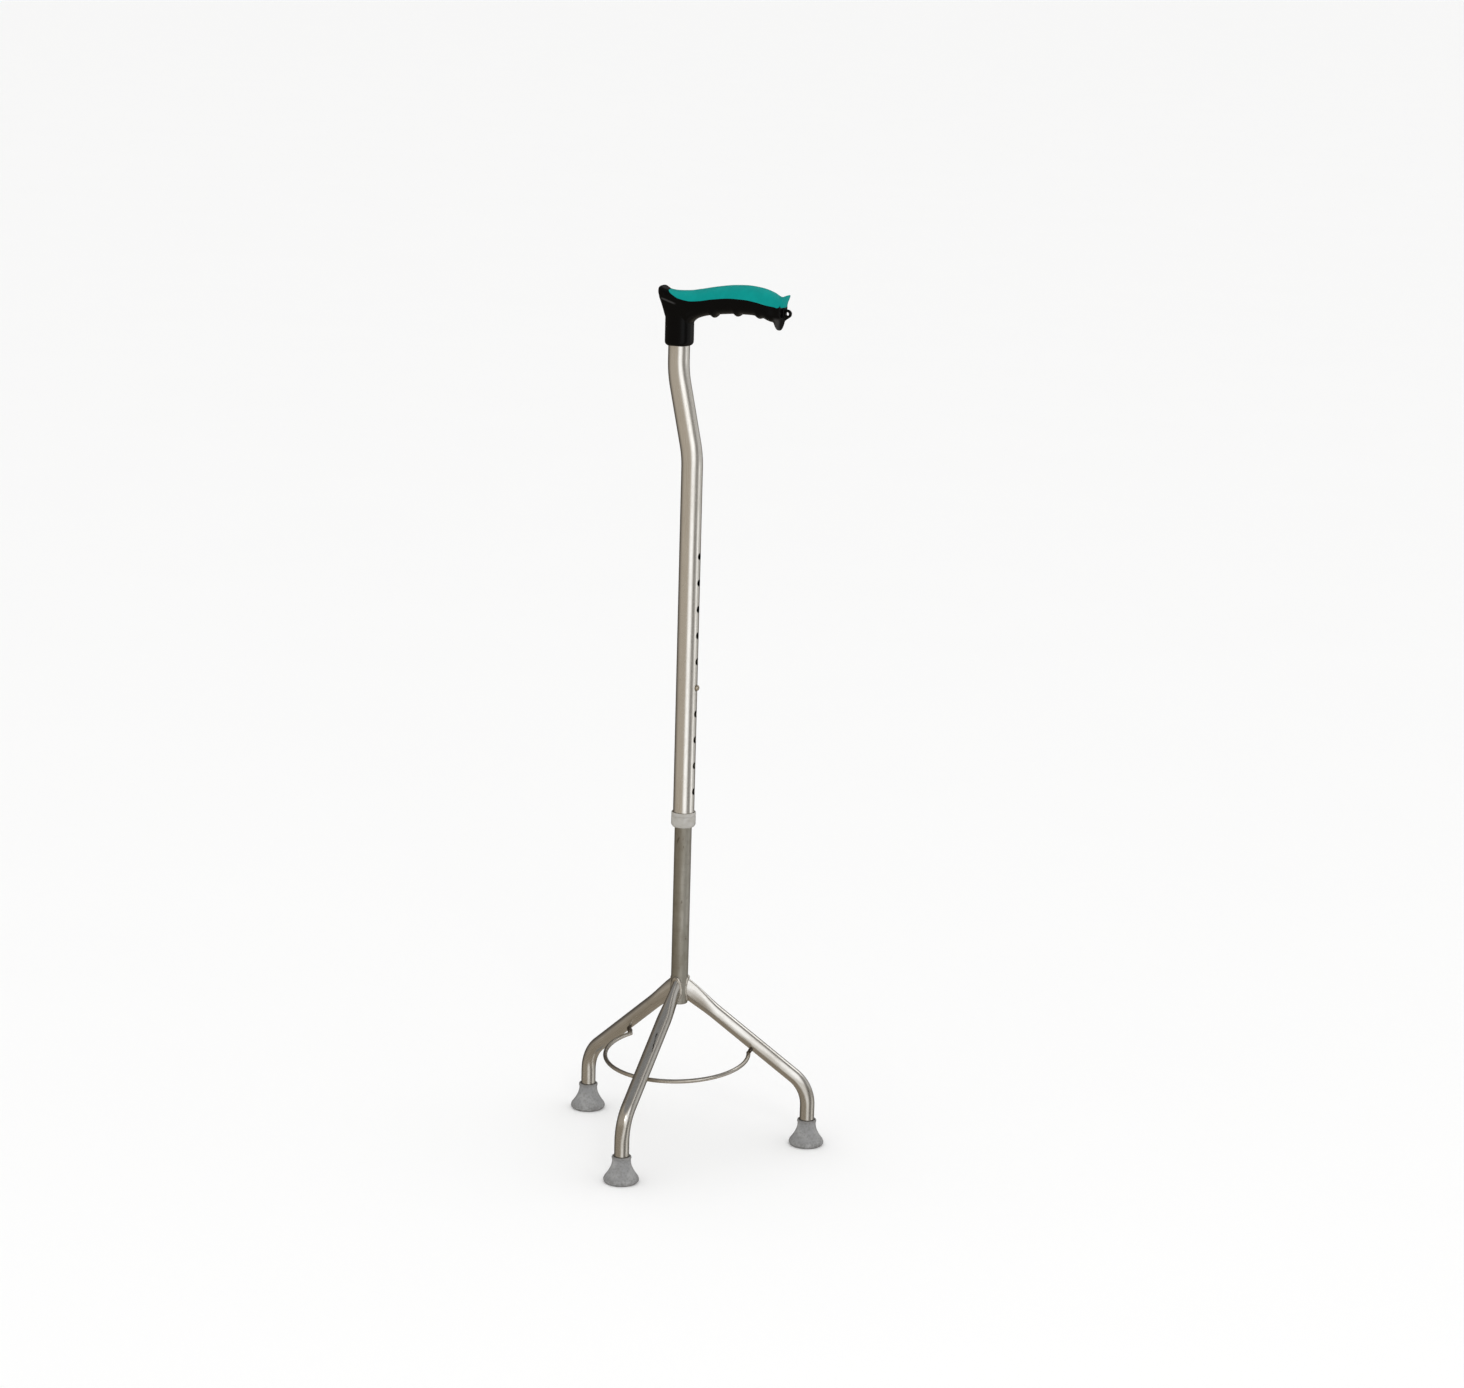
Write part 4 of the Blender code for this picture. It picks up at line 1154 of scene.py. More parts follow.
@dataclass
class LowerTube:
    """Straight lower tube with the button's hole, and what fits inside it."""

    radius: float = 8.25 * MM
    wall: float = 1.4 * MM
    bottom: float = 141.5 * MM
    top: float = 505.5 * MM
    button_height: float = 455.5 * MM
    button_radius: float = 3.2 * MM
    sides: int = 96

    def build(self) -> None:
        """Build the tube and dress the fittings inside it."""
        inner = self.radius - self.wall
        rim = 0.35
        outline = from_corner(inner, self.bottom, ((0.0, rim), (rim, 0.0)))
        outline += from_corner(self.radius, self.bottom, ((-rim, 0.0), (0.0, rim)))
        outline += from_corner(self.radius, self.top, ((0.0, -rim), (-rim, 0.0)))
        outline += from_corner(inner, self.top, ((rim, 0.0), (0.0, -rim)))
        tube = turned("drawn_lower_tube", outline, self.sides, True)
        place = shift(1.0 * MM, 0.0, self.button_height) @ ALONG_X
        drill(tube, place, [(self.button_radius, 0.0), (self.button_radius, 12.0 * MM)])
        move_mesh(tube, ON_AXIS)
        smooth(tube)
        # Inside the bore the metal gets painted shade.
        metal = DrawnMetal(
            "lower_tube_metal", "lower_steel", colour=(0.47, 0.455, 0.41), stain=(0.32, 0.30, 0.245),
            roughness=0.38, stains=0.6, lines=0.22, rubs=0.5, bore=self.radius - 0.3 * MM,
            centre=(0.0, AXIS_Y, 0.0),
        )
        seat_piece(tube, Body.BASE, metal, "lower_tube")
        fit_node("stub_plug", MouldedPlastic("stub_plug_black", "plug_plastic"))
        fit_node("glide_bush", MouldedPlastic("bush_nylon_black", "bush_nylon", colour=(0.02, 0.02, 0.021)))
        plate = {"colour": (0.6, 0.6, 0.62), "stain": (0.4, 0.4, 0.38), "roughness": 0.3}
        for side in ("front", "right", "left"):
            fit_node("washer_" + side, DrawnMetal("washer_zinc_plate", "zinc_steel", **plate))


@dataclass
class UpperTube:
    """Swan-necked upper tube with its row of height holes."""

    radius: float = 10.2 * MM
    wall: float = 1.3 * MM
    bottom: float = 321.0 * MM
    top: float = 813.2 * MM
    offset: float = 16.2 * MM
    lower_corner: float = 678.0 * MM
    upper_corner: float = 755.0 * MM
    bend_radius: float = 110.0 * MM
    hole_pitch: float = 25.4 * MM
    hole_count: int = 10
    hole_radius: float = 3.3 * MM
    top_hole: float = 582.5 * MM
    screw_height: float = 795.5 * MM
    sides: int = 96

    def shell(self) -> bpy.types.Object:
        """Extrude and bend the tube from its lower end to its upper end."""
        lean = atan2(self.offset, self.upper_corner - self.lower_corner)
        tangent = self.bend_radius * tan(lean / 2.0)
        blank = Blank("drawn_upper_tube", self.sides, self.radius)
        blank.move((0.0, 0.0, self.bottom))
        bend_start = self.lower_corner - tangent
        for low, high in zip([self.bottom] + self.hole_gaps(), self.hole_gaps() + [bend_start]):
            blank.extrude((0.0, 0.0, high - low))
        blank.spin(-lean, (-self.bend_radius, 0.0, bend_start), (0.0, 1.0, 0.0), 14)
        straight = hypot(self.offset, self.upper_corner - self.lower_corner) - 2.0 * tangent
        blank.extrude((-straight * sin(lean), 0.0, straight * cos(lean)))
        bend_end = self.upper_corner + tangent
        blank.spin(lean, (self.bend_radius - self.offset, 0.0, bend_end), (0.0, 1.0, 0.0), 14)
        blank.extrude((0.0, 0.0, self.top - bend_end))
        return blank.done()

    def hole_gaps(self) -> list[float]:
        """Heights midway between neighbouring holes, from the lowest up."""
        lowest = self.top_hole - (self.hole_count - 1) * self.hole_pitch
        return [lowest + (index - 0.5) * self.hole_pitch for index in range(self.hole_count + 1)]

    def build(self) -> None:
        """Build the tube with its wall, holes and screw way."""
        tube = self.shell()
        apply_modifier(tube, "SOLIDIFY", thickness=self.wall, offset=-1.0, use_even_offset=True)
        for index in range(self.hole_count):
            place = shift(4.0 * MM, 0.0, self.top_hole - index * self.hole_pitch) @ ALONG_X
            drill(tube, place, [(self.hole_radius, 0.0), (self.hole_radius, 14.0 * MM)])
        place = shift(-self.offset, 0.0, self.screw_height) @ ALONG_Y
        drill(tube, place, [(2.0 * MM, 0.0), (2.0 * MM, 16.0 * MM)], 24)
        soften_edges(tube, 0.18 * MM, 1, 50.0)
        move_mesh(tube, ON_AXIS)
        smooth(tube)
        # Inside the bore the metal gets painted shade.
        metal = DrawnMetal(
            "upper_tube_metal", "upper_aluminium", colour=(0.88, 0.86, 0.82), stain=(0.68, 0.64, 0.57),
            roughness=0.15, stains=0.25, lines=0.08, marks=0.14, bore=self.radius - 0.3 * MM,
            centre=(0.0, AXIS_Y, 0.0),
        )
        seat_piece(tube, Body.UPPER, metal, "upper_tube")


@dataclass
class Collar:
    """Milky collar on the upper tube's lower end, open-mouthed above, closing onto the lower tube below."""

    top: float = 333.0 * MM
    bottom: float = 318.4 * MM
    radius: float = 11.8 * MM
    seat: float = 10.5 * MM
    lip: float = 8.45 * MM
    shelf: float = 320.7 * MM
    sides: int = 96

    def build(self) -> None:
        """Turn the collar."""
        foot = ((-1.9, 0.0), (-1.4, 0.3), (-0.25, 2.0), (0.0, 2.8))
        groove = ((0.0, -4.4), (-0.12, -4.1), (-0.34, -3.9), (-0.34, -3.6), (-0.12, -3.4), (-0.05, -3.1))
        rim = ((-0.05, -0.5), (-0.2, -0.15), (-0.42, 0.0))
        outline = from_corner(self.lip, self.bottom, ((0.0, 0.25), (0.25, 0.0)))
        outline += from_corner(self.radius, self.bottom, foot)
        outline += from_corner(self.radius, self.top, groove + rim)
        outline += from_corner(self.seat, self.top, ((0.55, 0.0), (0.4, -0.2), (0.0, -2.2)))
        outline += [(self.seat, self.shelf), (self.lip, self.shelf)]
        piece = move_mesh(turned("milky_collar", outline, self.sides, True), ON_AXIS)
        seat_piece(piece, Body.UPPER, MilkyPlastic("collar_milky", "collar_plastic"), "tube_collar")


@dataclass
class HeightLock:
    """Sprung button: a domed pin with a flange, and the hairpin strip that pushes it out."""

    height: float = 455.5 * MM
    radius: float = 2.9 * MM
    tip: float = 12.9 * MM
    flange_back: float = 3.9 * MM
    flange_radius: float = 4.2 * MM
    flange_thickness: float = 1.0 * MM
    travel: float = 4.2 * MM
    strip_width: float = 6.0 * MM
    strip_thickness: float = 0.5 * MM
    strip_length: float = 38.0 * MM
    far_wall: float = -5.65 * MM

    def build_button(self) -> None:
        """Turn the button and lay it along X."""
        front = self.flange_back + self.flange_thickness
        outline = [(0.4 * MM, self.flange_back)]
        outline += from_corner(self.flange_radius, self.flange_back, ((-0.2, 0.0), (0.0, 0.2)))
        outline += from_corner(self.flange_radius, front, ((0.0, -0.2), (-0.2, 0.0)))
        outline += from_corner(self.radius, front, ((0.25, 0.0), (0.0, 0.25)))
        for turn in spread(0.0, 86.0, 14):
            angle = radians(turn)
            outline.append((self.radius * cos(angle), self.tip - self.radius * 0.8 * (1.0 - sin(angle))))
        piece = turned("domed_button", outline, 48)
        move_mesh(piece, shift(0.0, AXIS_Y, self.height) @ ALONG_X)
        metal = DrawnMetal(
            "button_nickelled_brass", "button_brass", colour=(0.58, 0.53, 0.44), stain=(0.30, 0.22, 0.13),
            roughness=0.12, stains=0.6, lines=0.2, marks=0.2, centre=(0.0, AXIS_Y, self.height),
            turn=(0.0, pi / 2.0, 0.0),
        )
        seat_piece(piece, Body.BUTTON, metal, "snap_button")

    def build_spring(self) -> None:
        """Model the hairpin strip, open; the real one closes up as the button goes in."""
        front = self.flange_back - GAP - self.strip_thickness / 2.0
        bend = (front - self.far_wall) / 4.0
        middle = (front + self.far_wall) / 2.0
        path = [Vector((front, 0.0, z)) for z in spread(self.flange_radius, -self.flange_radius, 4)]
        for turn in spread(0.0, pi, 19):
            path.append(Vector((middle + bend * cos(turn), 0.0, -self.strip_length - bend * sin(turn))))
        path += [Vector((self.far_wall, 0.0, z)) for z in spread(-8.0 * MM, self.flange_radius, 4)]
        rings = []
        for index, point in enumerate(path):
            before, after = path[max(index - 1, 0)], path[min(index + 1, len(path) - 1)]
            along = (after - before).normalized()
            thick = Vector((along.z, 0.0, -along.x)) * self.strip_thickness / 2.0
            wide = Vector((0.0, self.strip_width / 2.0, 0.0))
            rings.append([point + out for out in (thick + wide, wide - thick, -thick - wide, thick - wide)])
        piece = lofted("hairpin_strip", rings)
        move_mesh(piece, shift(0.0, AXIS_Y, self.height))
        soften_edges(piece, 0.08 * MM, 1)
        smooth(piece)
        metal = DrawnMetal(
            "spring_strip_steel", "spring_steel", colour=(0.5, 0.51, 0.53), stain=(0.3, 0.27, 0.22),
            roughness=0.25, centre=(0.0, AXIS_Y, self.height),
        )
        seat_piece(piece, Body.BASE, metal, "button_spring")
        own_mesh(piece)

    def build(self) -> None:
        """Build the button and its spring."""
        self.build_button()
        self.build_spring()


# ---------------------------------------------------------------- grip


@dataclass
class GripForm:
    """The grip's shape: lengths run along +X from the socket's axis, heights go up from its mouth."""

    place: Triple = (-16.2 * MM, AXIS_Y, 780.5 * MM)
    pad_thickness: float = 2.6 * MM
    seat_gap: float = 0.4 * MM
    pad_start: float = -9.8 * MM
    pad_end: float = 107.6 * MM
    pad_lift: float = 0.25 * MM
    body_start: float = -19.0 * MM
    body_end: float = 104.0 * MM
    ridge_half_length: float = 4.2 * MM
    ridges: Line = ((36.2 * MM, 3.0 * MM), (59.5 * MM, 2.6 * MM), (81.2 * MM, 1.8 * MM))
    crown: Line = (
        (-19.0, 54.9), (-17.4, 55.4), (-14.6, 54.2), (-10.4, 52.4), (-3.0, 51.6), (8.0, 52.1), (22.0, 54.4),
        (36.5, 57.4), (55.0, 60.1), (67.5, 60.7), (81.0, 59.5), (93.5, 56.0), (101.5, 52.2), (107.6, 54.2),
    )
    under: Line = (
        (-19.0, 47.2), (-17.0, 42.0), (-13.2, 31.0), (-10.6, 23.0), (0.0, 21.0), (10.6, 20.0), (14.2, 23.6),
        (19.2, 27.0), (30.0, 30.3), (45.0, 32.5), (60.0, 33.7), (73.0, 33.7), (85.0, 31.7), (94.0, 28.7),
        (99.0, 28.9), (104.0, 32.0),
    )
    pad_edge: Line = (
        (-10.0, 51.4), (-7.6, 49.5), (-3.2, 47.3), (3.4, 44.7), (14.9, 43.2), (24.4, 44.1), (36.7, 46.4),
        (57.4, 48.6), (69.0, 48.4), (81.4, 46.8), (92.0, 44.5), (100.0, 43.3), (107.6, 42.2),
    )
    half_width: Line = (
        (-19.0, 8.6), (-17.2, 10.2), (-12.5, 11.8), (0.0, 13.0), (30.0, 12.6), (60.0, 13.0), (90.0, 12.4),
        (100.5, 10.2), (107.6, 10.0),
    )
    squareness: Line = ((-19.0, 3.0), (-10.0, 2.4), (94.0, 2.4), (101.0, 2.9), (107.6, 4.4))
    shoulder: Line = ((-18.0, 44.5), (-2.3, 39.8), (4.0, 38.5))

    def ridge_drop(self, length: float) -> float:
        """How far the finger ridges hang below the underside."""
        half = self.ridge_half_length
        return max(depth * ease(1.0 - abs(length - place) / half) for place, depth in self.ridges)

    def section(self, length: float, turn: float, inset: float) -> Vector:
        """Return a point of the rounded section.

        Args:
            length: Place along the grip.
            turn: Turn from +Y through the crown.
            inset: Distance inside the surface.

        Returns:
            The point in the grip's own frame.
        """
        crown = read_line(self.crown, length)
        under = read_line(self.under, length)
        middle = (crown + under) / 2.0
        if sin(turn) < 0.0:
            half_height = middle - under + self.ridge_drop(length)
        else:
            half_height = crown - middle
        power = 2.0 / (read_line(self.squareness, length) / MM)
        across, upward = round_off(turn, power)
        half_width = read_line(self.half_width, length)
        return Vector((length, across * (half_width - inset), middle + upward * (half_height - inset)))

    def edge_turn(self, length: float, lift: float) -> float:
        """Turn at which the section reaches the pad's edge, moved up by lift."""
        crown = read_line(self.crown, length)
        middle = (crown + read_line(self.under, length)) / 2.0
        share = (read_line(self.pad_edge, length) + lift - middle) / (crown - middle)
        return asin(min(max(share, 0.01), 0.99) ** (read_line(self.squareness, length) / MM / 2.0))

    def shouldered(self, point: Vector) -> Vector:
        """Swell the side a little along the ridge below the horn."""
        height = read_line(self.shoulder, point.x)
        near = exp(-(((point.z - height) / (1.5 * MM)) ** 2))
        fade = 1.0 - ease((point.x + 9.0 * MM) / (11.0 * MM))
        swell = 0.75 * MM * near * fade * (1.0 if abs(point.y) > 3.0 * MM else 0.0)
        return Vector((point.x, point.y + copysign(swell, point.y), point.z))

    def slanted(self, point: Vector, length: float) -> Vector:
        """Lean the pad's nose back below, more at its sides than in its middle."""
        reach = ease((length - 95.0 * MM) / (self.pad_end - 95.0 * MM))
        aside = min(abs(point.y) / (9.5 * MM), 1.0) ** 2
        below = min(max(read_line(self.crown, length) - point.z, 0.0), 12.0 * MM)
        return point - Vector(((0.10 + 0.34 * aside) * reach * below, 0.0, 0.0))

    def pad_ring(self, length: float, lift: float, outer: float, inner: float, count: int) -> list[Vector]:
        """Return a section of the pad or of its seat: the outside, then the inside back again.

        Args:
            length: Place along the grip.
            lift: How far the lower edges lie above the pad's edge line.
            outer: Distance of the outside inside the grip's surface, negative to stand proud.
            inner: Distance of the inside.
            count: Number of points on each side.

        Returns:
            The section's points.
        """
        edge = self.edge_turn(length, lift)
        outside = [self.section(length, turn, outer) for turn in spread(edge, pi - edge, count)]
        start = edge + 0.02
        inside = [self.section(length, turn, inner) for turn in spread(pi - start, start, count)]
        return [self.slanted(point, length) for point in outside + inside]


@dataclass
class Grip:
    """Black moulded grip with its teal soft-touch pad, plug and screw."""

    form: GripForm = field(default_factory=GripForm)
    socket_half: float = 12.9 * MM
    socket_corner: float = 4.0 * MM
    socket_depth: float = 33.0 * MM
    bore_radius: float = 10.5 * MM
    eyelet_length: float = 108.2 * MM
    eyelet_height: float = 37.2 * MM
    eyelet_radius: float = 1.7 * MM
    tab_radius: float = 4.0 * MM
    tab_thickness: float = 3.2 * MM
    hook_length: float = 100.2 * MM
    hook_height: float = 21.2 * MM
    screw_height: float = 15.0 * MM
    socket_squareness: float = 2.6
    voxel: float = 0.6 * MM
    sides: int = 64

    def arm(self) -> bpy.types.Object:
        """Loft the long arm from the horn to the nose."""
        form = self.form
        rings = [
            [form.shouldered(form.section(length, turn, 0.0)) for turn in turns(self.sides)]
            for length in spread(form.body_start, form.body_end, 110)
        ]
        return lofted("grip_shell", rings)

    def socket(self) -> bpy.types.Object:
        """Loft the upright socket with rounded lower corners."""
        power = 2.0 / self.socket_squareness
        corner = self.socket_corner
        quarter = spread(0.0, pi / 2.0, 8)
        levels = [(corner * (1.0 - sin(turn)), corner * (1.0 - cos(turn))) for turn in quarter]
        levels += [(0.0, 12.0 * MM), (0.0, 20.0 * MM), (0.0, 32.0 * MM)]
        rings = []
        for inset, height in levels:
            half = self.socket_half - inset
            ring = [round_off(turn, power) for turn in turns(self.sides)]
            rings.append([Vector((half * across, half * aside, height)) for across, aside in ring])
        return lofted("socket_helper", rings)

    def hook(self) -> bpy.types.Object:
        """Loft the blunt finger hook below the nose."""
        rings = []
        for share in spread(0.0, 1.0, 16):
            height = self.hook_height + 13.0 * MM * share**1.6
            size = max(share, 0.03) ** 0.6
            centre = self.hook_length - 0.6 * MM * share
            rings.append([
                Vector((centre + 6.4 * MM * size * cos(turn), 7.0 * MM * size * sin(turn), height))
                for turn in turns(32)
            ])
        return lofted("hook_helper", rings)

    def tab(self) -> bpy.types.Object:
        """Model the strap tab as a plate with a round end and a gusset down to the hook."""
        root = self.form.body_end - 5.0 * MM
        outline = [
            (root, self.eyelet_height + 4.4 * MM),
            (root, self.eyelet_height - 10.5 * MM),
            (self.eyelet_length - 4.6 * MM, self.eyelet_height - 8.6 * MM),
            (self.eyelet_length - 1.2 * MM, self.eyelet_height - 5.6 * MM),
        ]
        for turn in spread(radians(-50.0), radians(84.0), 18):
            x = self.eyelet_length + self.tab_radius * cos(turn)
            outline.append((x, self.eyelet_height + self.tab_radius * sin(turn)))
        outline.append((self.eyelet_length - 3.4 * MM, self.eyelet_height + 4.4 * MM))
        half = self.tab_thickness / 2.0
        return lofted("tab_helper", [[Vector((x, side, z)) for x, z in outline] for side in (-half, half)])

    def near_join(self, point: Vector) -> bool:
        """Whether a point lies where the arm meets the socket or the hook."""
        at_socket = abs(point.x) < 24.0 * MM and 12.0 * MM < point.z < 36.0 * MM
        at_hook = point.x > 88.0 * MM and 25.0 * MM < point.z < 38.0 * MM and abs(point.y) > 1.8 * MM
        return at_socket or at_hook

    def drilled(self, body: bpy.types.Object) -> None:
        """Cut the tube's bore, the strap hole and the screw's way."""
        mouth = self.bore_radius + 0.5 * MM
        bore = [(mouth, -2.0 * MM), (mouth, 0.0)]
        bore += [(self.bore_radius, 0.6 * MM), (self.bore_radius, self.socket_depth)]
        drill(body, Matrix.Identity(4), bore, 80)
        eyelet = [(self.eyelet_radius, -8.0 * MM), (self.eyelet_radius, 8.0 * MM)]
        drill(body, shift(self.eyelet_length, 0.0, self.eyelet_height) @ ALONG_Y, eyelet)
        seat = self.socket_half - 1.5 * MM
        way = [(2.0 * MM, 0.0), (2.0 * MM, seat), (3.4 * MM, seat), (3.4 * MM, seat + 8.0 * MM)]
        drill(body, shift(0.0, 0.0, self.screw_height) @ ALONG_Y, way)

    def build_body(self) -> None:
        """Join arm, socket, hook and tab, melt the joins, and cut the pad's seat and the holes."""
        form = self.form
        body = self.arm()
        for helper in (self.socket(), self.hook(), self.tab()):
            combine(body, helper, "UNION")
        apply_modifier(body, "REMESH", mode="VOXEL", voxel_size=self.voxel)
        joins = body.vertex_groups.new(name="joins")
        joins.add([v.index for v in body.data.vertices if self.near_join(v.co)], 1.0, "REPLACE")
        apply_modifier(body, "SMOOTH", factor=0.5, iterations=12, vertex_group="joins")
        apply_modifier(body, "SMOOTH", factor=0.5, iterations=2)
        body.vertex_groups.clear()
        seat_start = form.pad_start - 0.5 * MM
        rings = [
            form.pad_ring(length, 0.0, -3.0 * MM, form.pad_thickness + form.seat_gap, 24)
            for length in spread(seat_start, form.body_end + 4.0 * MM, 90)
        ]
        combine(body, lofted("seat_helper", rings), "DIFFERENCE")
        self.drilled(body)
        smooth(body, 42.0)
        body.name = "moulded_grip"
        body.data.name = "moulded_grip"
        move_mesh(body, Matrix.Translation(form.place))
        # Painted highlights: the ridge below the horn, the horn's end and the finger hook are laid a lighter
        # grey.
        shoulder = (-31.5, 825.2, -15.5, 820.6, 1.2)
        horn = (-34.4, 826.5, -35.0, 833.0, 1.5)
        nose = (82.4, 801.5, 84.2, 813.5, 4.2)
        plastic = MouldedPlastic(
            "grip_black_plastic", "handle_black", colour=(0.0012, 0.001, 0.001), worn=(0.02, 0.019, 0.019),
            roughness=0.26, specular=0.11, rubbed_and_highlights=(shoulder, horn, nose), parting_y=AXIS_Y, dust=0.006, edges=0.3,
        )
        seat_piece(body, Body.UPPER, plastic, "handle_body")

    def pad_rings(self) -> list[list[Vector]]:
        """Return the pad's sections, open below along the arm and solid where it closes the nose."""
        form = self.form
        count = 32
        rings = [
            form.pad_ring(length, form.pad_lift, 0.0, form.pad_thickness, count)
            for length in spread(form.pad_start, form.body_end + form.seat_gap, 92)
        ]
        for length in spread(form.body_end + form.seat_gap + 0.05 * MM, form.pad_end, 7):
            edge = form.edge_turn(length, form.pad_lift)
            outside = [form.section(length, turn, 0.0) for turn in spread(edge, pi - edge, count)]
            floor = [outside[-1].lerp(outside[0], share) for share in spread(0.02, 0.98, count)]
            rings.append([form.slanted(point, length) for point in outside + floor])
        middle = Vector((form.pad_end, 0.0, (outside[0].z + read_line(form.crown, form.pad_end)) / 2.0))
        for share in (0.8, 0.6, 0.4, 0.2):
            rings.append([form.slanted(middle.lerp(point, share), form.pad_end) for point in outside + floor])
        return rings

    def build_pad(self) -> None:
        """Loft the pad and round its edges."""
        pad = lofted("soft_touch_pad", self.pad_rings())
        soften_edges(pad, 0.35 * MM, 3, 45.0)
        move_mesh(pad, Matrix.Translation(self.form.place))
        smooth(pad, 45.0)
        seat_piece(pad, Body.UPPER, SoftTouch("pad_soft_teal", "grip_teal"), "grip_pad")

    def build_screw(self) -> None:
        """Turn the pan-head screw and cut its cross."""
        head = self.socket_half
        shank = [(0.5 * MM, 2.0 * MM), (1.7 * MM, 4.0 * MM)]
        pan = ((1.7, -1.2), (3.1, -1.2), (3.1, -0.85), (2.95, -0.5), (2.5, -0.22), (1.6, -0.06), (0.4, -0.02))
        outline = shank + from_corner(0.0, head, pan)
        piece = turned("cross_head_screw", outline, 48)
        for turn in (radians(20.0), radians(110.0)):
            clear_bench()
            bpy.ops.mesh.primitive_cube_add(size=1.0)
            slot = bpy.context.active_object
            shape = Matrix.Diagonal((0.6 * MM, 3.2 * MM, 1.4 * MM, 1.0))
            move_mesh(slot, shift(0.0, 0.0, head) @ Matrix.Rotation(turn, 4, "Z") @ shape)
            combine(piece, slot, "DIFFERENCE")
        x, y, z = self.form.place
        move_mesh(piece, shift(x, y, z + self.screw_height) @ ALONG_Y)
        smooth(piece, 18.0)
        plate = {"colour": (0.62, 0.62, 0.64), "stain": (0.4, 0.39, 0.36), "roughness": 0.25}
        seat_piece(piece, Body.UPPER, DrawnMetal("screw_zinc_plate", "zinc_steel", **plate), "handle_screw")

    def build(self) -> None:
        """Build the grip."""
        self.build_body()
        self.build_pad()
        self.build_screw()
        fit_node("handle_plug", MouldedPlastic("handle_plug_black", "plug_plastic"))


# ---------------------------------------------------------------- studio


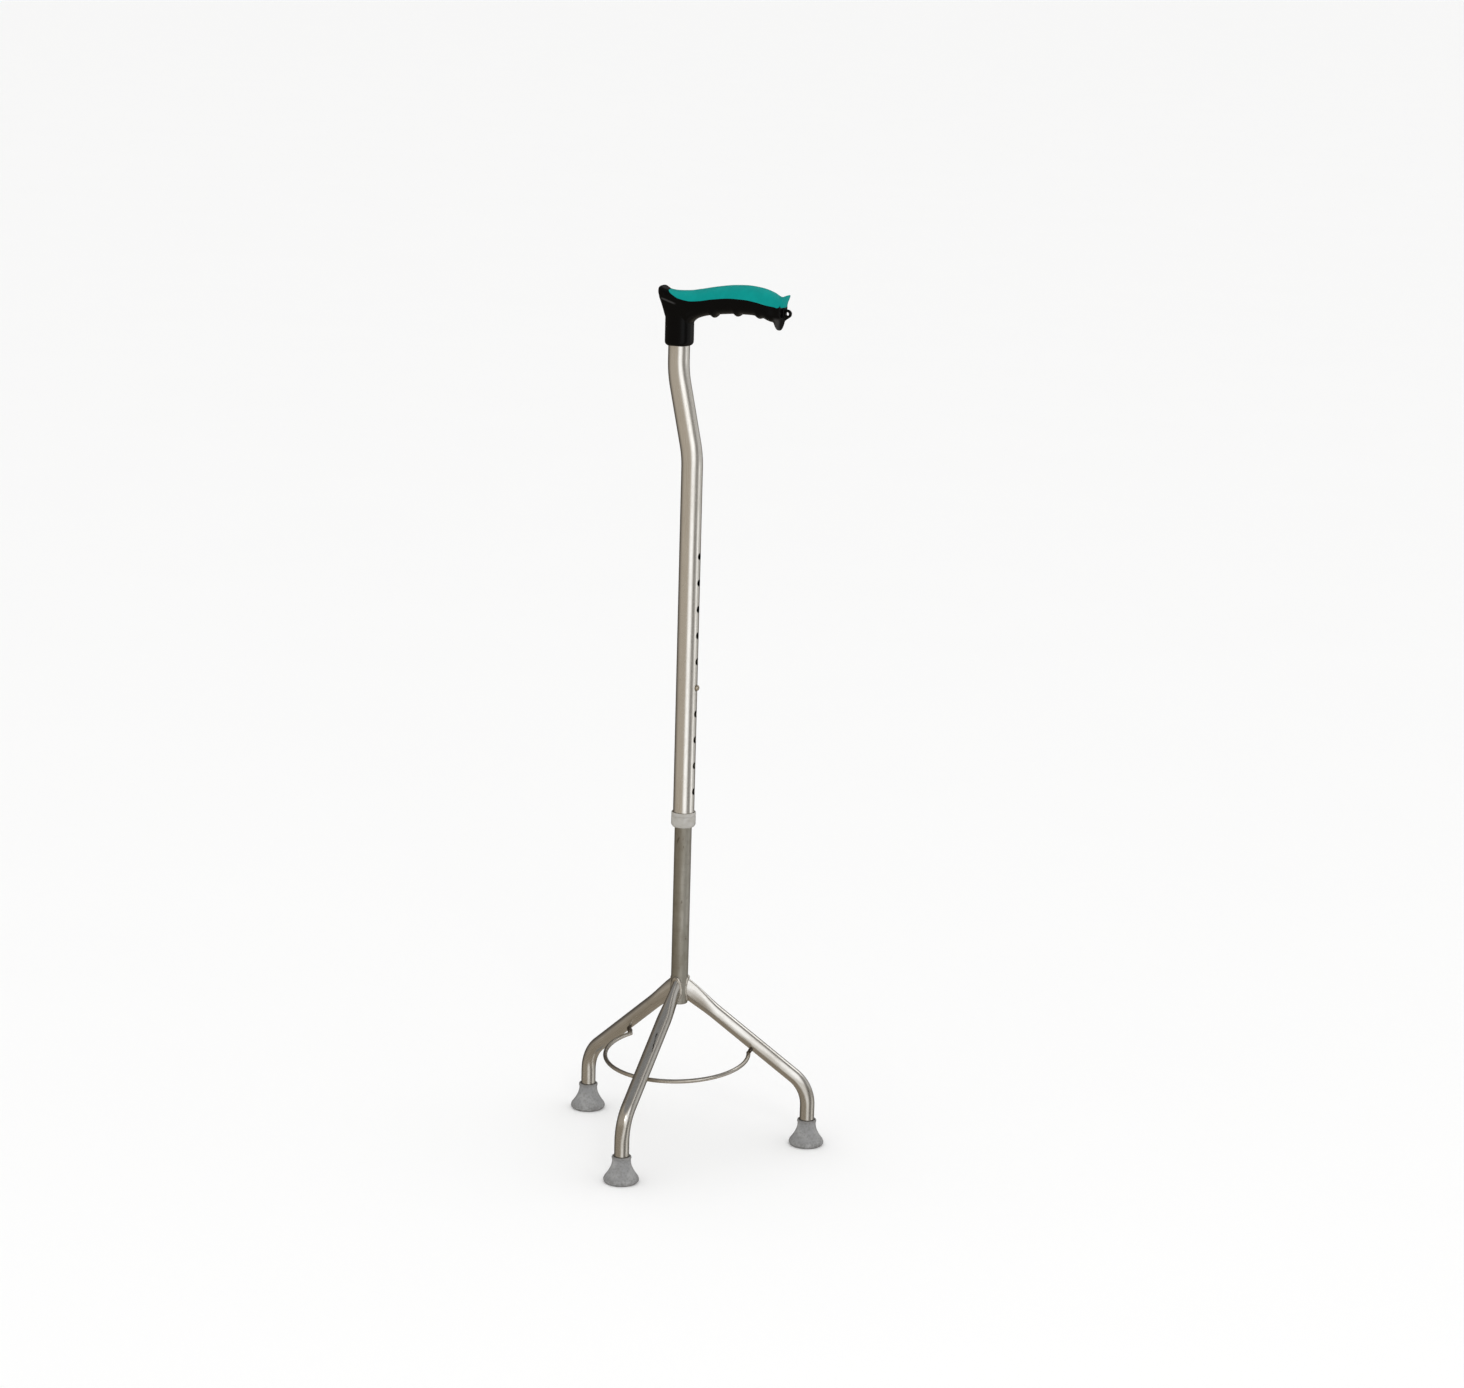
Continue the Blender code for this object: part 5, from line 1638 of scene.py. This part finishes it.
@dataclass
class Studio:
    """Pale floor, soft light all round, one soft lamp, and the camera."""

    floor_size: float = 80.0
    floor_height: float = -0.1 * MM
    camera_place: Triple = (1.34322, -3.07377, 1.22424)
    camera_turn: Triple = (77.124, -1.541, 22.96)
    lens: float = 89.822
    lamp_aim: Triple = (0.0, 0.0, 0.45)
    facing: float = radians(66.7)

    def build_floor(self) -> None:
        """Lay the floor."""
        clear_bench()
        bpy.ops.mesh.primitive_plane_add(size=self.floor_size, location=(0.0, 0.0, self.floor_height))
        floor = bpy.context.active_object
        floor.name = "studio_floor"
        made = bpy.data.materials.new("studio_floor_paper")
        made.use_nodes = True
        graph = Graph(made.node_tree)
        shader = made.node_tree.nodes["Principled BSDF"]
        tone = graph.blend(graph.noise(graph.place(), 3.0, 2.0), (0.955, 0.955, 0.952), (0.965, 0.965, 0.962))
        graph.link(tone, shader.inputs["Base Color"])
        set_shader(shader, Roughness=0.9, Specular_IOR_Level=0.1)
        floor.data.materials.append(made)
        floor.visible_glossy = False

    def build_world(self) -> None:
        """Set even white light for matt surfaces and a studio of soft panels for glossy ones."""
        world = bpy.data.worlds.new("studio_world")
        bpy.context.scene.world = world
        world.use_nodes = True
        world.cycles.sampling_method = "NONE"
        graph = Graph(world.node_tree)
        background = world.node_tree.nodes["Background"]
        direction = graph.add("ShaderNodeTexCoord").outputs["Generated"]
        turned_to = graph.add("ShaderNodeMapping", {"Vector": direction, "Rotation": (0.0, 0.0, self.facing)})
        parts = graph.split(turned_to.outputs[0])
        around = graph.math("ARCTAN2", parts["Y"], parts["X"])
        height = graph.math("ARCSINE", parts["Z"])

        def panel(value: Socket, centre: float, half: float, soft: float) -> Socket:
            """Return 1 inside a soft-edged band about a centre, all in degrees."""
            off = graph.away(value, radians(centre))
            return graph.fade(off, radians(half) - radians(soft), radians(half) + radians(soft))

        # The panels lean, so that they look slanted in upright tubes.
        leaning = graph.times_plus(graph.math("ADD", height, radians(13.0)), -0.75, around)
        room = graph.blend(graph.step(around, -2.5, -1.45), (0.09, 0.08, 0.07), (0.42, 0.375, 0.315))
        walls = (
            (0.35, 0.75, (0.24, 0.23, 0.215)), (1.0, 1.3, (0.52, 0.51, 0.49)), (2.1, 2.5, (0.14, 0.13, 0.12)),
        )
        for start, end, colour in walls:
            room = graph.blend(graph.step(leaning, start, end), room, colour)
        room = graph.blend(graph.step(height, 0.8, 1.0), room, (0.24, 0.24, 0.24))
        room = graph.blend(graph.fade(height, -0.8, -0.35), room, (0.38, 0.335, 0.275))
        below = graph.fade(height, radians(40.0), radians(47.0))
        above = graph.step(height, radians(-42.0), radians(-30.0))
        window = graph.times(graph.times(panel(leaning, 11.0, 19.0, 9.0), below), above)
        strength = graph.step(height, radians(-12.0), radians(12.0), 1.12, 1.28)
        white = graph.add("ShaderNodeCombineColor", {0: strength, 1: strength, 2: strength}).outputs[0]
        room = graph.blend(window, room, white)
        low = graph.fade(height, radians(-9.0), radians(-4.0))
        room = graph.blend(graph.times(panel(leaning, 86.0, 9.0, 4.0), low), room, (1.15, 1.14, 1.12))
        high = panel(height, 37.0, 11.0, 3.0)
        room = graph.blend(graph.times(panel(leaning, 91.0, 17.0, 5.0), high), room, (1.7, 1.69, 1.66))
        path = graph.add("ShaderNodeLightPath").outputs
        lit = graph.blend(path["Is Diffuse Ray"], room, (1.0, 1.0, 1.0))
        seen = graph.blend(path["Is Camera Ray"], lit, (0.985, 0.985, 0.985))
        graph.link(seen, background.inputs["Color"])

    def build_lamp(self, name: str, place: Vector, size: float, power: float) -> None:
        """Hang one square soft lamp that faces the cane.

        Args:
            name: Name of the lamp.
            place: Where it hangs.
            size: Length of its side.
            power: Power in watts.
        """
        data = bpy.data.lights.new(name, "AREA")
        data.shape = "SQUARE"
        data.size = size
        data.energy = power
        lamp = bpy.data.objects.new(name, data)
        bpy.context.scene.collection.objects.link(lamp)
        lamp.location = place
        lamp.rotation_euler = (Vector(self.lamp_aim) - place).to_track_quat("-Z", "Y").to_euler()

    def build_camera(self) -> None:
        """Set the camera."""
        data = bpy.data.cameras.new("studio_camera")
        data.sensor_fit = "HORIZONTAL"
        data.sensor_width = 36.0
        data.lens = self.lens
        data.clip_end = 200.0
        camera = bpy.data.objects.new("studio_camera", data)
        bpy.context.scene.collection.objects.link(camera)
        camera.location = self.camera_place
        camera.rotation_euler = tuple(radians(angle) for angle in self.camera_turn)
        bpy.context.scene.camera = camera

    def build(self) -> None:
        """Build the studio."""
        self.build_floor()
        self.build_world()
        self.build_lamp("key_lamp", Vector((1.9, -2.6, 2.3)), 0.7, 10.0)
        self.build_camera()
        bpy.context.scene.view_settings.view_transform = "Standard"


def main() -> None:
    """Build the studio and the cane."""
    logging.basicConfig(level=logging.INFO, format="%(message)s")
    Studio().build()
    legs = LegSet()
    legs.build()
    RubberTips().build(legs)
    BraceRing().build(legs)
    LowerTube().build()
    UpperTube().build()
    Collar().build()
    HeightLock().build()
    Grip().build()
    clear_bench()


if __name__ == "__main__":
    main()
